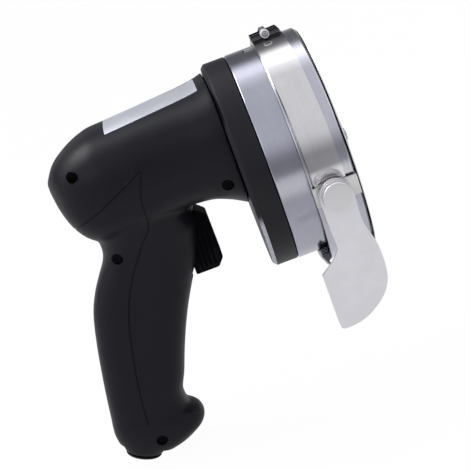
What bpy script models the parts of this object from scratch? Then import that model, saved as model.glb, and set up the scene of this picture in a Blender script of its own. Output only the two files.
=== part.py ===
"""Electric kebab slicer, an assembly of separate pieces.

Units are metres.  X runs along the motor shaft towards the blade, Z is up, and -Y is the side
that carries the gauge knob.  Every size below is measured from the head datum, the middle of the
collar's front face, and one empty shifts the whole tool so that its box is centred on the origin.
"""
import math

import bmesh
import bpy
from mathutils import Matrix, Vector

# General values
FULL_TURN = 2.0 * math.pi
HALF_TURN = math.pi
QUARTER_TURN = 0.5 * math.pi
GAP = 0.0003
OVERRUN = 0.002
FINE_STEPS = 36
ROUND_STEPS = 20
SMALL_STEPS = 12
MERGE_DISTANCE = 1e-6
SHARP_ANGLE = math.radians(32.0)

# Head ring, the aluminium casting that carries the spindle
HEAD_RADIUS = 0.0535
HEAD_FRONT = 0.0120
HEAD_EDGE = 0.0006
HEAD_SPIGOT = 0.0040
HEAD_SPIGOT_WALL = 0.0035
HEAD_WEB_BACK = 0.0015
HEAD_WEB = 0.0045
SLEEVE_WALL = 0.0027
BOSS_RADIUS = 0.0140
BOSS_DRAFT = 0.0010
BOSS_BORE = 0.0060
BOSS_CLEARANCE = 0.0013
WINDOW_HALF_ANGLE = math.radians(47.0)

# Gear collar, the black flange behind the head
COLLAR_STEP = 0.0002
COLLAR_RADIUS = HEAD_RADIUS - COLLAR_STEP
COLLAR_LENGTH = 0.0125
COLLAR_CHAMFER = 0.0018
COLLAR_WALL = 0.0035
COLLAR_WEB = 0.0060

# Spindle, blade and gears
SPINDLE_Z = -0.0040
SPINDLE_RADIUS = 0.0040
SPINDLE_TAIL_RADIUS = 0.0030
SPINDLE_THREAD_RADIUS = 0.0030
GEAR_MODULE = 0.0008
GEAR_TEETH = 38
PINION_TEETH = 12
GEAR_FACE = 0.0050
PINION_FACE = 0.0064
GEAR_ADDENDUM_SHARE = 0.80
GEAR_DEDENDUM_SHARE = 1.10
PINION_ADDENDUM_SHARE = 0.95
PINION_DEDENDUM_SHARE = 0.95
TOOTH_PLAY = 0.00006
PRESSURE_ANGLE = math.radians(20.0)
FLANK_POINTS = 1
BLADE_BACK = 0.0379
BLADE_THICKNESS = 0.0012
BLADE_BEVEL = 0.0045
BLADE_EDGE = 0.00025
BLADE_OVERHANG = 0.0002
BLADE_CLEARANCE = 0.0009
BLADE_SEAT_RADIUS = 0.0120
BLADE_NUT_RADIUS = 0.0095
BLADE_NUT_LENGTH = 0.0050
NUT_FLANGE_SHARE = 0.30
NOSE_LENGTH = 0.0066
SPINDLE_NOSE = BLADE_BACK + NOSE_LENGTH
BOSS_FRONT = BLADE_BACK - BOSS_CLEARANCE

# Bearings and seal
SMALL_BEARING_RADIUS = 0.0080
SMALL_BEARING_WIDTH = 0.0044
LARGE_BEARING_RADIUS = 0.0110
LARGE_BEARING_WIDTH = 0.0070
BEARING_WALL = 0.0020
BEARING_RECESS = 0.0004
SEAT_CLEARANCE = 0.0002
SHAFT_CLEARANCE = 0.0002
SEAL_WIDTH = 0.0020

# Guard ring, the stainless gauge band that slides on the sleeve; it touches nearest at the top
GUARD_STEP = 0.0038
GUARD_RADIUS = HEAD_RADIUS + GUARD_STEP
BLADE_RADIUS = GUARD_RADIUS + BLADE_OVERHANG
GUARD_WALL = 0.0010
GUARD_CLEARANCE = 0.0005
GUARD_Z = HEAD_RADIUS + GUARD_CLEARANCE - (GUARD_RADIUS - GUARD_WALL)
GUARD_REAR_GAP = 0.0033
GUARD_BACK = HEAD_FRONT + GUARD_REAR_GAP
GUARD_FRONT = BLADE_BACK - BLADE_CLEARANCE
GUARD_EDGE = 0.0008
GUARD_LIP = 0.0033
GUARD_BEAD = 0.0006
GUARD_BEAD_WIDTH = 0.0012
BEAD_FLAT_SHARE = 0.60
GUARD_TRAVEL = 0.0080
SLEEVE_END = GUARD_FRONT - GUARD_WALL - GUARD_TRAVEL - GUARD_CLEARANCE

# Guide key at the top of the sleeve
KEY_END_GAP = 0.0037
KEY_LENGTH = SLEEVE_END - HEAD_FRONT - KEY_END_GAP
KEY_HALF_WIDTH = 0.0025
KEY_HEIGHT = 0.0022
KEY_SUNK = 0.0003
KEY_OFFSET = 0.0035

# Slice deflector under the head, with legs that lap inside the guard ring
LEG_CLEARANCE = 0.0005
LEG_WALL = 0.0010
LEG_OUTER = GUARD_RADIUS - GUARD_WALL - GUARD_Z - LEG_CLEARANCE
LEG_INNER = LEG_OUTER - LEG_WALL
LEG_LAP = 0.0087
LEG_HALF_ANGLE = math.radians(4.0)
LEG_ANGLES = (0.0, math.radians(-19.0))
LEG_STEPS = 3
DEFLECTOR_HALF_ANGLE = math.radians(25.0)
DEFLECTOR_CLEARANCE = 0.0008
DEFLECTOR_INNER = HEAD_RADIUS + DEFLECTOR_CLEARANCE
DEFLECTOR_LIP = 0.0041
DEFLECTOR_OUTER = LEG_OUTER + DEFLECTOR_LIP
DEFLECTOR_FLARE = 0.0019
DEFLECTOR_WALL = 0.0010
DEFLECTOR_SETBACK = 0.0007
DEFLECTOR_BACK = HEAD_FRONT - DEFLECTOR_SETBACK

# Clamp strap and the clamp bolt
STRAP_INSET = 0.0017
STRAP_FRONT_INSET = 0.0045
STRAP_BACK = GUARD_BACK + STRAP_INSET
STRAP_WIDTH = GUARD_FRONT - STRAP_FRONT_INSET - STRAP_BACK
STRAP_WALL = 0.0009
STRAP_INNER = GUARD_RADIUS + GAP
STRAP_START_ANGLE = math.radians(2.6)
FLANGE_RISE = 0.0044
FLANGE_TOP = GUARD_Z + STRAP_INNER + STRAP_WALL + FLANGE_RISE
CLAMP_INSET = 0.0022
CLAMP_BOLT_Z = FLANGE_TOP - CLAMP_INSET
CLAMP_SHARE = 0.35
CLAMP_BOLT_X = STRAP_BACK + CLAMP_SHARE * STRAP_WIDTH
CLAMP_BOLT_RADIUS = 0.00125
CLAMP_BOLT_HEAD = 0.0024
CLAMP_BOLT_HEAD_LENGTH = 0.0022
CLAMP_NUT_RADIUS = 0.0023
CLAMP_NUT_LENGTH = 0.0036
CLAMP_NUT_FLUTE = 0.0002
CLAMP_NUT_FLUTES = 8
CLAMP_NUT_TOP = CLAMP_BOLT_Z + CLAMP_NUT_RADIUS
BOLT_TAIL = 0.0007

# Knob's place, and the clips that hold the strap's ends
KNOB_X = STRAP_BACK + 0.5 * STRAP_WIDTH
KNOB_Z = -0.0142
CLIP_WALL = 0.0010
CLIP_INNER = STRAP_INNER + STRAP_WALL + GAP
CLIP_OUTER = CLIP_INNER + CLIP_WALL
CLIP_REACH = 0.0015
CLIP_BACK = GUARD_BACK - CLIP_REACH
CLIP_FRONT = GUARD_FRONT + CLIP_REACH
CLIP_HOOK = 0.0044
CLIP_RISE = 0.0043
CLIP_FALL = 0.0058
CLIP_TOP = KNOB_Z + CLIP_RISE
CLIP_BOTTOM = KNOB_Z - CLIP_FALL
CLIP_FACE = math.sqrt(CLIP_OUTER ** 2 - (KNOB_Z - GUARD_Z) ** 2)
CLIP_STEPS = 5

# Stud, rivet, gauge plate and knob
STUD_RADIUS = 0.0020
STUD_STANDOFF = 0.0010
STUD_COLLAR_RADIUS = 0.0050
STUD_COLLAR_BACK = CLIP_FACE + STUD_STANDOFF
STUD_COLLAR_LENGTH = 0.0014
STUD_END_SHARE = 0.30
RIVET_HEAD_RADIUS = 0.0036
RIVET_HEAD_HEIGHT = 0.0016
RIVET_SHOULDER_SHARE = 0.85
RIVET_CROWN_SHARE = 0.45
GAUGE_THICKNESS = 0.0012
GAUGE_NECK = 0.0160
GAUGE_WIDTH = 0.0306
GAUGE_REACH = 0.0638
GAUGE_BACK_EDGE = 0.0192
GAUGE_TOP_STEPS = 10
# place across the plate from its back edge, and down from the pivot: shares of its sizes
GAUGE_SHARES = (
    (0.366, 0.120), (0.354, 0.360), (0.316, 0.420), (0.170, 0.495), (0.050, 0.530), (0.000, 0.575),
    (0.000, 0.955), (0.020, 0.985), (0.080, 1.000), (0.200, 1.000), (0.340, 0.990), (0.500, 0.967),
    (0.630, 0.930), (0.740, 0.885), (0.840, 0.825), (0.930, 0.745), (0.985, 0.660), (1.000, 0.580),
    (0.985, 0.480), (0.930, 0.400), (0.885, 0.330), (0.889, 0.220),
)
KNOB_RADIUS = 0.0074
KNOB_LENGTH = 0.0098
KNOB_FLUTE = 0.0004
KNOB_FLUTES = 16
KNOB_EDGE = 0.0006
KNOB_NECK_RADIUS = 0.0056
KNOB_NECK_LENGTH = 0.0012
KNOB_BORE_SHARE = 0.25
KNOB_BACK = STUD_COLLAR_BACK + STUD_COLLAR_LENGTH + GAUGE_THICKNESS + 2.0 * GAP
KNOB_FACE = KNOB_BACK + KNOB_NECK_LENGTH + KNOB_LENGTH

# Housing, two moulded half shells
WALL = 0.0026
BARREL_FRONT = -(COLLAR_LENGTH + GAP)
BARREL_LENGTH = 0.0905
BARREL_END = BARREL_FRONT - BARREL_LENGTH
BARREL_TOP = 0.0492
BARREL_DROP = 0.0192
BARREL_HALF_WIDTH = 0.0445
BARREL_POWER = 2.35
GRIP_DROP = 0.1260
GRIP_REACH = 0.1204
GRIP_HALF_WIDTH = 0.0195
GRIP_POWER = 2.6
SECTION_POINTS = 24
INNER_SECTION_POINTS = 16
PARTING_GAP = 0.00015
# station, crown height, underside, half width: shares of the barrel's sizes
BARREL_SHARES = (
    (0.000, 1.000, -1.000, 1.000),
    (0.041, 0.980, -0.874, 0.989),
    (0.102, 0.965, -0.720, 0.955),
    (0.190, 0.955, -0.583, 0.899),
    (0.301, 0.943, -0.549, 0.854),
    (0.433, 0.927, -0.571, 0.827),
    (0.588, 0.911, -0.600, 0.804),
    (0.687, 0.902, -0.617, 0.778),
    (0.765, 0.868, -0.606, 0.733),
    (0.831, 0.817, -0.537, 0.670),
    (0.886, 0.760, -0.371, 0.593),
    (0.930, 0.703, -0.103, 0.499),
    (0.964, 0.638, 0.223, 0.378),
    (0.986, 0.573, 0.617, 0.252),
    (1.000, 0.528, 1.029, 0.101),
)
# height, front edge, back edge, half width: shares of the grip's sizes
GRIP_SHARES = (
    (0.032, 0.382, 0.731, 1.590),
    (-0.048, 0.365, 0.748, 1.410),
    (-0.124, 0.353, 0.750, 1.205),
    (-0.167, 0.361, 0.766, 1.103),
    (-0.222, 0.378, 0.806, 1.010),
    (-0.278, 0.399, 0.845, 0.954),
    (-0.357, 0.449, 0.885, 0.913),
    (-0.476, 0.511, 0.920, 0.892),
    (-0.595, 0.565, 0.947, 0.872),
    (-0.714, 0.615, 0.970, 0.862),
    (-0.802, 0.650, 0.985, 0.862),
    (-0.841, 0.648, 0.992, 0.872),
    (-0.873, 0.608, 0.997, 0.872),
    (-0.905, 0.597, 1.000, 0.851),
    (-0.937, 0.615, 0.998, 0.810),
    (-0.964, 0.660, 0.992, 0.730),
    (-0.987, 0.723, 0.972, 0.580),
    (-1.000, 0.772, 0.939, 0.400),
)
# stations of the hollow inside, at which the outer form is taken in by the wall
HOLLOW_BARREL_SHARES = (0.000, 0.102, 0.301, 0.588, 0.765, 0.831, 0.930)
HOLLOW_GRIP_SHARES = (-0.020, -0.222, -0.357, -0.595, -0.841, -0.905, -0.960)
JOINT_SHARE = 0.50
RIB_WIDTH = 0.0025
BEARING_RIB_WIDTH = 0.0050

# Motor, in the room that the barrel leaves round its axis
GEAR_CENTRES = 0.5 * GEAR_MODULE * (GEAR_TEETH + PINION_TEETH)
MOTOR_Z = SPINDLE_Z + GEAR_CENTRES
SHAFT_RADIUS = 0.0030
SHAFT_OVERHANG = 0.0020
CAN_ROOM = 0.0019
CAN_CROWN_SHARE = 0.911
CAN_UNDERSIDE_SHARE = 0.549
CAN_RADIUS = min(CAN_CROWN_SHARE * BARREL_TOP - MOTOR_Z,
                 CAN_UNDERSIDE_SHARE * BARREL_DROP + MOTOR_Z) - WALL - CAN_ROOM
FAN_SPACE = 0.0132
FAN_WIDTH = 0.0062
FAN_BACK = BARREL_FRONT - FAN_SPACE - FAN_WIDTH
FAN_CLEARANCE = 0.0023
FAN_INSET = 0.0025
FAN_RADIUS = CAN_RADIUS - FAN_INSET
FAN_HUB_RADIUS = 2.0 * SHAFT_RADIUS
FAN_DISC = 0.0012
FAN_BLADES = 7
FAN_BLADE_WALL = 0.0009
CAN_TAIL_SPACE = 0.0313
CAN_FRONT = FAN_BACK - FAN_CLEARANCE
CAN_BACK = BARREL_END + CAN_TAIL_SPACE
CAN_BORE_SHARE = 0.61
CAN_BORE = CAN_BORE_SHARE * CAN_RADIUS
CAN_RIB_FRONT_INSET = 0.0040
CAN_RIB_REAR_INSET = 0.0060
ARMATURE_GAP = 0.0007
ARMATURE_RADIUS = CAN_BORE - ARMATURE_GAP
ARMATURE_INSET = 0.0052
ARMATURE_SLOTS = 12
SLOT_DEPTH_SHARE = 0.22
SLOT_HALF_WIDTH_SHARE = 0.063
WINDING_SHARE = 0.85
WINDING_LENGTH = 0.0048
COMMUTATOR_SHARE = 0.68
COMMUTATOR_RADIUS = COMMUTATOR_SHARE * ARMATURE_RADIUS
COMMUTATOR_LENGTH = 0.0070
COMMUTATOR_BARS = 10
COMMUTATOR_SLOT = 0.0003
COMMUTATOR_BACK = CAN_BACK - GAP - COMMUTATOR_LENGTH
BRUSH_SIZE = 0.0045
BRUSH_INSET = 0.0051
BRUSH_WALL = 0.0012
BRUSH_PLATE = 0.0022
BRUSH_PLATE_BORE_SHARE = 0.54
BEARING_INSET = 0.0185
BEARING_RIB_X = BARREL_END + BEARING_INSET

# Rating plate on the crown of the barrel, left bare
LABEL_FRONT_SHARE = 0.0575
LABEL_BACK_SHARE = 0.599
LABEL_NEAR_SHARE = -0.573
LABEL_FAR_SHARE = 0.112
LABEL_THICKNESS = 0.0005
LABEL_COLUMNS = 6
LABEL_ROWS = 5

# Housing screws: station and height, as shares of the barrel's sizes and of the grip's
BARREL_SCREW_SHARES = ((0.839, 0.589), (0.083, 0.0325))
GRIP_SCREW_SHARES = ((0.697, -0.148), (0.806, -0.928))
SCREW_SHANK = 0.0013
SCREW_HEAD = 0.0026
SCREW_HEAD_LENGTH = 0.0019
SCREW_SUNK = 0.0028
SCREW_REACH = 0.0070
BOSS_HOLE = 0.0016
SCREW_BOSS = 0.0036
COUNTERBORE = 0.0029
DRIVE_SLOT_HALF = 0.0004
DRIVE_SLOT_REACH = 0.0017
DRIVE_SLOT_DEPTH = 0.0008
HEAD_SCREW_INSET = 0.0115
HEAD_SCREW_CIRCLE = HEAD_RADIUS - HEAD_SCREW_INSET
HEAD_SCREW_COUNT = 4
HEAD_SCREW_RADIUS = 0.0016
HEAD_SCREW_HEAD = 0.0030
HEAD_SCREW_HEAD_LENGTH = 0.0022

# Trigger, placed on the grip
TRIGGER_FRONT_SHARE = 0.2924
TRIGGER_TOP_SHARE = 0.119
TRIGGER_BOTTOM_SHARE = 0.3397
TRIGGER_FRONT = -TRIGGER_FRONT_SHARE * GRIP_REACH
TRIGGER_TOP = -TRIGGER_TOP_SHARE * GRIP_DROP
TRIGGER_BOTTOM = -TRIGGER_BOTTOM_SHARE * GRIP_DROP
TRIGGER_DEPTH = 0.0150
TRIGGER_HALF_WIDTH = 0.0078
TRIGGER_TRAVEL = 0.0050
TRIGGER_ROUND = 0.0012
TRIGGER_RIBS = 5
TRIGGER_RIB_DEPTH = 0.0007
TRIGGER_RIB_HALF = 0.0005
TRIGGER_TOE = 0.0030
TRIGGER_TOE_RISE = 0.0050
TRIGGER_PLAY = 0.0005
FLANK_GROOVES = 3
FLANK_GROOVE_PITCH = 0.0024
FLANK_GROOVE_START = 0.0030
FLANK_GROOVE_LEAN = math.radians(4.0)

# Switch behind the trigger, its stem and its spring
STEM_RADIUS = 0.0022
STEM_ENTRY = 0.0030
STEM_DROP = 0.0021
STEM_Z = 0.5 * (TRIGGER_TOP + TRIGGER_BOTTOM) - STEM_DROP
SPRING_LENGTH = 0.0085
SPRING_RADIUS = 0.0036
SPRING_WIRE = 0.0004
SPRING_TURNS = 5
SPRING_POINTS = 6
SWITCH_CLEARANCE = 0.0020
SWITCH_FRONT = TRIGGER_FRONT - TRIGGER_DEPTH - SPRING_LENGTH - 2.0 * GAP
SWITCH_BACK = -GRIP_SCREW_SHARES[0][0] * GRIP_REACH + SCREW_BOSS + SWITCH_CLEARANCE
SWITCH_HEIGHT = 0.0220
SWITCH_TOP = STEM_Z + 0.5 * SWITCH_HEIGHT
SWITCH_BOTTOM = STEM_Z - 0.5 * SWITCH_HEIGHT
SWITCH_HALF_WIDTH = 0.0085
SWITCH_EDGE = 0.0008
TERMINAL_LENGTH = 0.0050
TERMINAL_HALF = 0.0015
TERMINAL_WALL = 0.0004

# Cord gland in the foot of the grip
GLAND_SHARE = 0.8953
GLAND_X = -GLAND_SHARE * GRIP_REACH
GLAND_RADIUS = 0.0060
GLAND_BORE = 0.0036
GLAND_FLANGE = 0.0067
GLAND_FLANGE_WIDTH = 0.0022
GLAND_GROOVE = 0.0010
GLAND_BOTTOM = 0.0038
GLAND_TOP_RISE = 0.0106
GLAND_HOLE_SHARE = 0.10

# Place of the head datum in the tool's box: half of what stands out behind and in front
BOX_X = 0.5 * (SPINDLE_NOSE - GRIP_REACH)


# Materials
def finish(name, colour, roughness, metallic):
    """A Principled material in the part's own colour."""
    made = bpy.data.materials.new(name)
    made.use_nodes = True
    shader = made.node_tree.nodes["Principled BSDF"]
    shader.inputs["Base Color"].default_value = (*colour, 1.0)
    shader.inputs["Roughness"].default_value = roughness
    shader.inputs["Metallic"].default_value = metallic
    made.diffuse_color = (*colour, 1.0)
    return made


# Mesh tools
def outlined(bm, points):
    """A closed loop of edges through the points."""
    verts = [bm.verts.new(point) for point in points]
    return [bm.edges.new(pair) for pair in zip(verts, verts[1:] + verts[:1])]


def made_object(name, bm, material, parent):
    """Close the bmesh, shade it, and hang it on its parent empty."""
    bmesh.ops.remove_doubles(bm, verts=bm.verts, dist=MERGE_DISTANCE)
    bmesh.ops.dissolve_degenerate(bm, edges=bm.edges, dist=MERGE_DISTANCE)
    bmesh.ops.recalc_face_normals(bm, faces=bm.faces)
    mesh = bpy.data.meshes.new(name)
    bm.to_mesh(mesh)
    bm.free()
    made = bpy.data.objects.new(name, mesh)
    bpy.context.scene.collection.objects.link(made)
    made.parent = parent
    if material is not None:
        mesh.materials.append(material)
    smooth(made)
    return made


def smooth(made):
    """Round faces smooth, real edges sharp."""
    made.data.shade_smooth()
    made.data.set_sharp_from_angle(angle=SHARP_ANGLE)


def turned(name, profile, material, parent, steps=ROUND_STEPS, start=0.0, sweep=FULL_TURN):
    """Spin a profile of (x, radius) points about the parent's X axis; angle 0 is straight down."""
    bm = bmesh.new()
    whole = sweep >= FULL_TURN
    on_axis = profile[0][1] == 0.0 and profile[-1][1] == 0.0
    verts = [bm.verts.new((x, 0.0, -radius)) for x, radius in profile]
    pairs = list(zip(verts, verts[1:]))
    if not on_axis:
        pairs.append((verts[-1], verts[0]))
    edges = [bm.edges.new(pair) for pair in pairs]
    bmesh.ops.rotate(bm, verts=verts, cent=(0.0, 0.0, 0.0), matrix=Matrix.Rotation(start, 3, "X"))
    bmesh.ops.spin(bm, geom=verts + edges, cent=(0.0, 0.0, 0.0), axis=(1.0, 0.0, 0.0),
                   angle=sweep, steps=steps, use_merge=whole)
    bmesh.ops.remove_doubles(bm, verts=bm.verts, dist=MERGE_DISTANCE)
    if not whole:
        bmesh.ops.holes_fill(bm, edges=[edge for edge in bm.edges if edge.is_boundary], sides=0)
    return made_object(name, bm, material, parent)


def plate(name, outline, holes, near, far, material, parent, along="Y"):
    """A flat outline with holes, extruded between two planes across X or Y."""
    def placed(first, second, depth):
        return (first, depth, second) if along == "Y" else (depth, first, second)

    bm = bmesh.new()
    edges = outlined(bm, [placed(u, v, near) for u, v in outline])
    for hole in holes:
        edges += outlined(bm, [placed(u, v, near) for u, v in hole])
    bmesh.ops.triangle_fill(bm, edges=edges, use_beauty=True, use_dissolve=False)
    raised = bmesh.ops.extrude_face_region(bm, geom=list(bm.faces), use_keep_orig=True)
    moved = [item for item in raised["geom"] if isinstance(item, bmesh.types.BMVert)]
    step = (0.0, far - near, 0.0) if along == "Y" else (far - near, 0.0, 0.0)
    bmesh.ops.translate(bm, verts=moved, vec=step)
    return made_object(name, bm, material, parent)


def block(name, low, high, material, parent, edge=0.0):
    """A block between two corners, with its edges rounded off."""
    bm = bmesh.new()
    bmesh.ops.create_cube(bm, size=1.0)
    size = Vector(high) - Vector(low)
    bmesh.ops.scale(bm, verts=bm.verts, vec=size)
    bmesh.ops.translate(bm, verts=bm.verts, vec=(Vector(low) + Vector(high)) / 2.0)
    if edge > 0.0:
        bmesh.ops.bevel(bm, geom=list(bm.edges), offset=edge, segments=1, affect="EDGES")
    return made_object(name, bm, material, parent)


def lofted(name, rings, material, parent):
    """A skin over rings of points, closed by a flat face at each end."""
    bm = bmesh.new()
    loops = [[bm.verts.new(point) for point in ring] for ring in rings]
    for lower, upper in zip(loops, loops[1:]):
        count = len(lower)
        for index in range(count):
            following = (index + 1) % count
            bm.faces.new((lower[index], lower[following], upper[following], upper[index]))
    bm.faces.new(loops[0])
    bm.faces.new(loops[-1])
    bmesh.ops.triangulate(bm, faces=bm.faces)
    return made_object(name, bm, material, parent)


def circle(radius, count, centre=(0.0, 0.0), turn=0.0):
    """Points of a circle about a centre."""
    return [(centre[0] + radius * math.cos(turn + FULL_TURN * index / count),
             centre[1] + radius * math.sin(turn + FULL_TURN * index / count))
            for index in range(count)]


def combined(target, others, operation):
    """Apply Boolean modifiers one after another and drop the tools."""
    for other in others:
        step = target.modifiers.new("shape", "BOOLEAN")
        step.operation = operation
        step.solver = "EXACT"
        step.object = other
        bpy.context.view_layer.update()
        graph = bpy.context.evaluated_depsgraph_get()
        mesh = bpy.data.meshes.new_from_object(target.evaluated_get(graph))
        target.modifiers.clear()
        spent = target.data
        target.data = mesh
        mesh.name = target.name
        bpy.data.meshes.remove(spent)
        bpy.data.objects.remove(other)
    bm = bmesh.new()
    bm.from_mesh(target.data)
    bmesh.ops.remove_doubles(bm, verts=bm.verts, dist=MERGE_DISTANCE)
    bmesh.ops.dissolve_degenerate(bm, edges=bm.edges, dist=MERGE_DISTANCE)
    bm.to_mesh(target.data)
    bm.free()
    smooth(target)
    return target


def cut(target, *tools):
    """Take the tools out of the target."""
    return combined(target, tools, "DIFFERENCE")


def fused(target, *others):
    """Make the others one solid with the target."""
    return combined(target, others, "UNION")


def empty(name, place, parent=None):
    """A point that pieces hang on."""
    made = bpy.data.objects.new(name, None)
    made.location = place
    made.parent = parent
    bpy.context.scene.collection.objects.link(made)
    return made


def rod_across(name, radius, near, far, x, z, material, parent, steps=SMALL_STEPS):
    """A rod along Y at (x, z)."""
    return plate(name, circle(radius, steps, (x, z)), [], near, far, material, parent)


def rod_along(name, radius, back, front, material, parent, steps=ROUND_STEPS, y=0.0, z=0.0):
    """A rod along X at (y, z)."""
    return plate(name, circle(radius, steps, (y, z)), [], back, front, material, parent, along="X")


# Section curves of the housing
def rounded_section(half_width, half_height, power, count):
    """Points of a superellipse, so a soft-cornered box."""
    points = []
    for index in range(count):
        angle = FULL_TURN * index / count
        cosine = math.cos(angle)
        sine = math.sin(angle)
        points.append((half_width * math.copysign(abs(cosine) ** (2.0 / power), cosine),
                       half_height * math.copysign(abs(sine) ** (2.0 / power), sine)))
    return points


def read_shares(table, share):
    """Values of a share table at one station, by straight runs between its rows."""
    rows = sorted(table)
    share = min(max(share, rows[0][0]), rows[-1][0])
    for lower, upper in zip(rows, rows[1:]):
        if share <= upper[0]:
            blend = (share - lower[0]) / (upper[0] - lower[0])
            return [low + blend * (high - low) for low, high in zip(lower[1:], upper[1:])]
    return list(rows[-1][1:])


def barrel_ring(share, inset, count=SECTION_POINTS):
    """One ring of the barrel, taken in by inset."""
    crown_share, under_share, width_share = read_shares(BARREL_SHARES, share)
    crown = crown_share * BARREL_TOP - inset
    under = under_share * BARREL_DROP + inset
    half_width = width_share * BARREL_HALF_WIDTH - inset
    middle = 0.5 * (crown + under)
    x = BARREL_FRONT - share * BARREL_LENGTH
    section = rounded_section(half_width, 0.5 * (crown - under), BARREL_POWER, count)
    return [(x, y, middle + z) for y, z in section]


def grip_ring(share, inset, count=SECTION_POINTS):
    """One level ring of the grip, taken in by inset."""
    front_share, back_share, width_share = read_shares(GRIP_SHARES, share)
    front = -front_share * GRIP_REACH - inset
    back = -back_share * GRIP_REACH + inset
    half_width = width_share * GRIP_HALF_WIDTH - inset
    middle = 0.5 * (front + back)
    z = share * GRIP_DROP
    section = rounded_section(0.5 * (front - back), half_width, GRIP_POWER, count)
    return [(middle + x, y, z) for x, y in section]


def barrel_side(x, z):
    """Half width of the barrel at a place on its side."""
    share = (BARREL_FRONT - x) / BARREL_LENGTH
    crown_share, under_share, width_share = read_shares(BARREL_SHARES, share)
    crown = crown_share * BARREL_TOP
    under = under_share * BARREL_DROP
    level = abs(z - 0.5 * (crown + under)) / (0.5 * (crown - under))
    return width_share * BARREL_HALF_WIDTH * (1.0 - level ** BARREL_POWER) ** (1.0 / BARREL_POWER)


def grip_side(x, z):
    """Half width of the grip at a place on its side."""
    front_share, back_share, width_share = read_shares(GRIP_SHARES, z / GRIP_DROP)
    front = -front_share * GRIP_REACH
    back = -back_share * GRIP_REACH
    level = abs(x - 0.5 * (front + back)) / (0.5 * (front - back))
    return width_share * GRIP_HALF_WIDTH * (1.0 - level ** GRIP_POWER) ** (1.0 / GRIP_POWER)


def side_at(x, z):
    """Half width of the housing at a screw's place."""
    if z > -JOINT_SHARE * BARREL_DROP:
        return barrel_side(x, z)
    return grip_side(x, z)


def screw_places():
    """Places of the four housing screws on the side of the tool, as (x, z)."""
    places = [(BARREL_FRONT - station * BARREL_LENGTH, height * BARREL_TOP)
              for station, height in BARREL_SCREW_SHARES]
    places += [(-reach * GRIP_REACH, height * GRIP_DROP) for reach, height in GRIP_SCREW_SHARES]
    return places


# Housing
def half_of(points, side):
    """The points of a closed section on one side, ending on the parting plane."""
    count = len(points)
    kept = [index for index in range(count) if side * points[index][1] >= -MERGE_DISTANCE]
    start = next(index for index in kept if (index - 1) % count not in kept)
    ring = [points[(start + step) % count] for step in range(len(kept))]
    return [(x, side * max(side * y, PARTING_GAP), z) for x, y, z in ring]


def outer_form(name, side, frame):
    """One half of the barrel and grip as a solid; side is -1 for the knob side."""
    barrel_rings = [half_of(barrel_ring(row[0], 0.0), side) for row in BARREL_SHARES]
    grip_rings = [half_of(grip_ring(row[0], 0.0), side) for row in GRIP_SHARES]
    return fused(lofted(name, barrel_rings, None, frame),
                 lofted("grip", grip_rings, None, frame))


def hollow_form(frame):
    """The barrel and grip taken in by the wall, open at the front of the barrel."""
    barrel_rings = [barrel_ring(share, WALL, INNER_SECTION_POINTS) for share in HOLLOW_BARREL_SHARES]
    barrel_rings.insert(0, [(x + OVERRUN, y, z) for x, y, z in barrel_rings[0]])
    grip_rings = [grip_ring(share, WALL, INNER_SECTION_POINTS) for share in HOLLOW_GRIP_SHARES]
    return fused(lofted("cavity", barrel_rings, None, frame),
                 lofted("grip_cavity", grip_rings, None, frame))


def seated_rib(x, width, seat_radius, frame):
    """A wall across the inside of the barrel with a round seat for the motor."""
    share = (BARREL_FRONT - x) / BARREL_LENGTH
    section = [(y, z) for _, y, z in barrel_ring(share, 0.5 * WALL, INNER_SECTION_POINTS)]
    rib = plate("rib", section, [], x - 0.5 * width, x + 0.5 * width, None, frame, along="X")
    seat = rod_along("seat", seat_radius, x - width, x + width, None, frame, z=MOTOR_Z)
    return cut(rib, seat)


def housing_cavity(frame):
    """The hollow inside, with ribs and screw bosses left standing in it."""
    cavity = hollow_form(frame)
    for x in (CAN_FRONT - CAN_RIB_FRONT_INSET, CAN_BACK + CAN_RIB_REAR_INSET):
        cut(cavity, seated_rib(x, RIB_WIDTH, CAN_RADIUS + GAP, frame))
    cut(cavity, seated_rib(BEARING_RIB_X, BEARING_RIB_WIDTH,
                           SMALL_BEARING_RADIUS + SEAT_CLEARANCE, frame))
    for x, z in screw_places():
        surface = side_at(x, z)
        cut(cavity, rod_across("boss", SCREW_BOSS, -surface, surface, x, z, None, frame))
    return cavity


def trigger_slot(frame):
    """Opening in the front of the grip for the trigger."""
    low = (TRIGGER_FRONT - TRIGGER_DEPTH - TRIGGER_TRAVEL - OVERRUN,
           -TRIGGER_HALF_WIDTH - TRIGGER_PLAY, TRIGGER_BOTTOM - TRIGGER_PLAY)
    high = (TRIGGER_FRONT, TRIGGER_HALF_WIDTH + TRIGGER_PLAY, TRIGGER_TOP + TRIGGER_PLAY)
    return block("trigger_slot", low, high, None, frame)


def gland_hole(frame):
    """Round hole in the foot of the grip for the cord gland."""
    depth = GRIP_DROP * GLAND_HOLE_SHARE
    radius = GLAND_RADIUS + GAP
    hole = turned("gland_hole", [(0.0, 0.0), (0.0, radius), (2.0 * depth, radius),
                                 (2.0 * depth, 0.0)], None, frame, SMALL_STEPS)
    hole.rotation_euler = (0.0, -QUARTER_TURN, 0.0)
    hole.location = (GLAND_X, 0.0, -GRIP_DROP - depth)
    return hole


def housing_half(name, side, plastic, frame):
    """One moulded half shell; side is -1 for the knob side and +1 for the other."""
    shell = outer_form(name, side, frame)
    cut(shell, housing_cavity(frame), trigger_slot(frame), gland_hole(frame))
    for x, z in screw_places():
        surface = side_at(x, z)
        inner = min(0.0, side * (surface - SCREW_SUNK))
        outer = max(0.0, side * (surface - SCREW_SUNK))
        cut(shell, rod_across("shaft", BOSS_HOLE, inner, outer, x, z, None, frame))
        if side < 0:
            bore = rod_across("bore", COUNTERBORE, -surface - OVERRUN,
                              -surface + SCREW_SUNK + SCREW_HEAD_LENGTH, x, z, None, frame)
            cut(shell, bore)
    shell.data.materials.append(plastic)
    return shell


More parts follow.
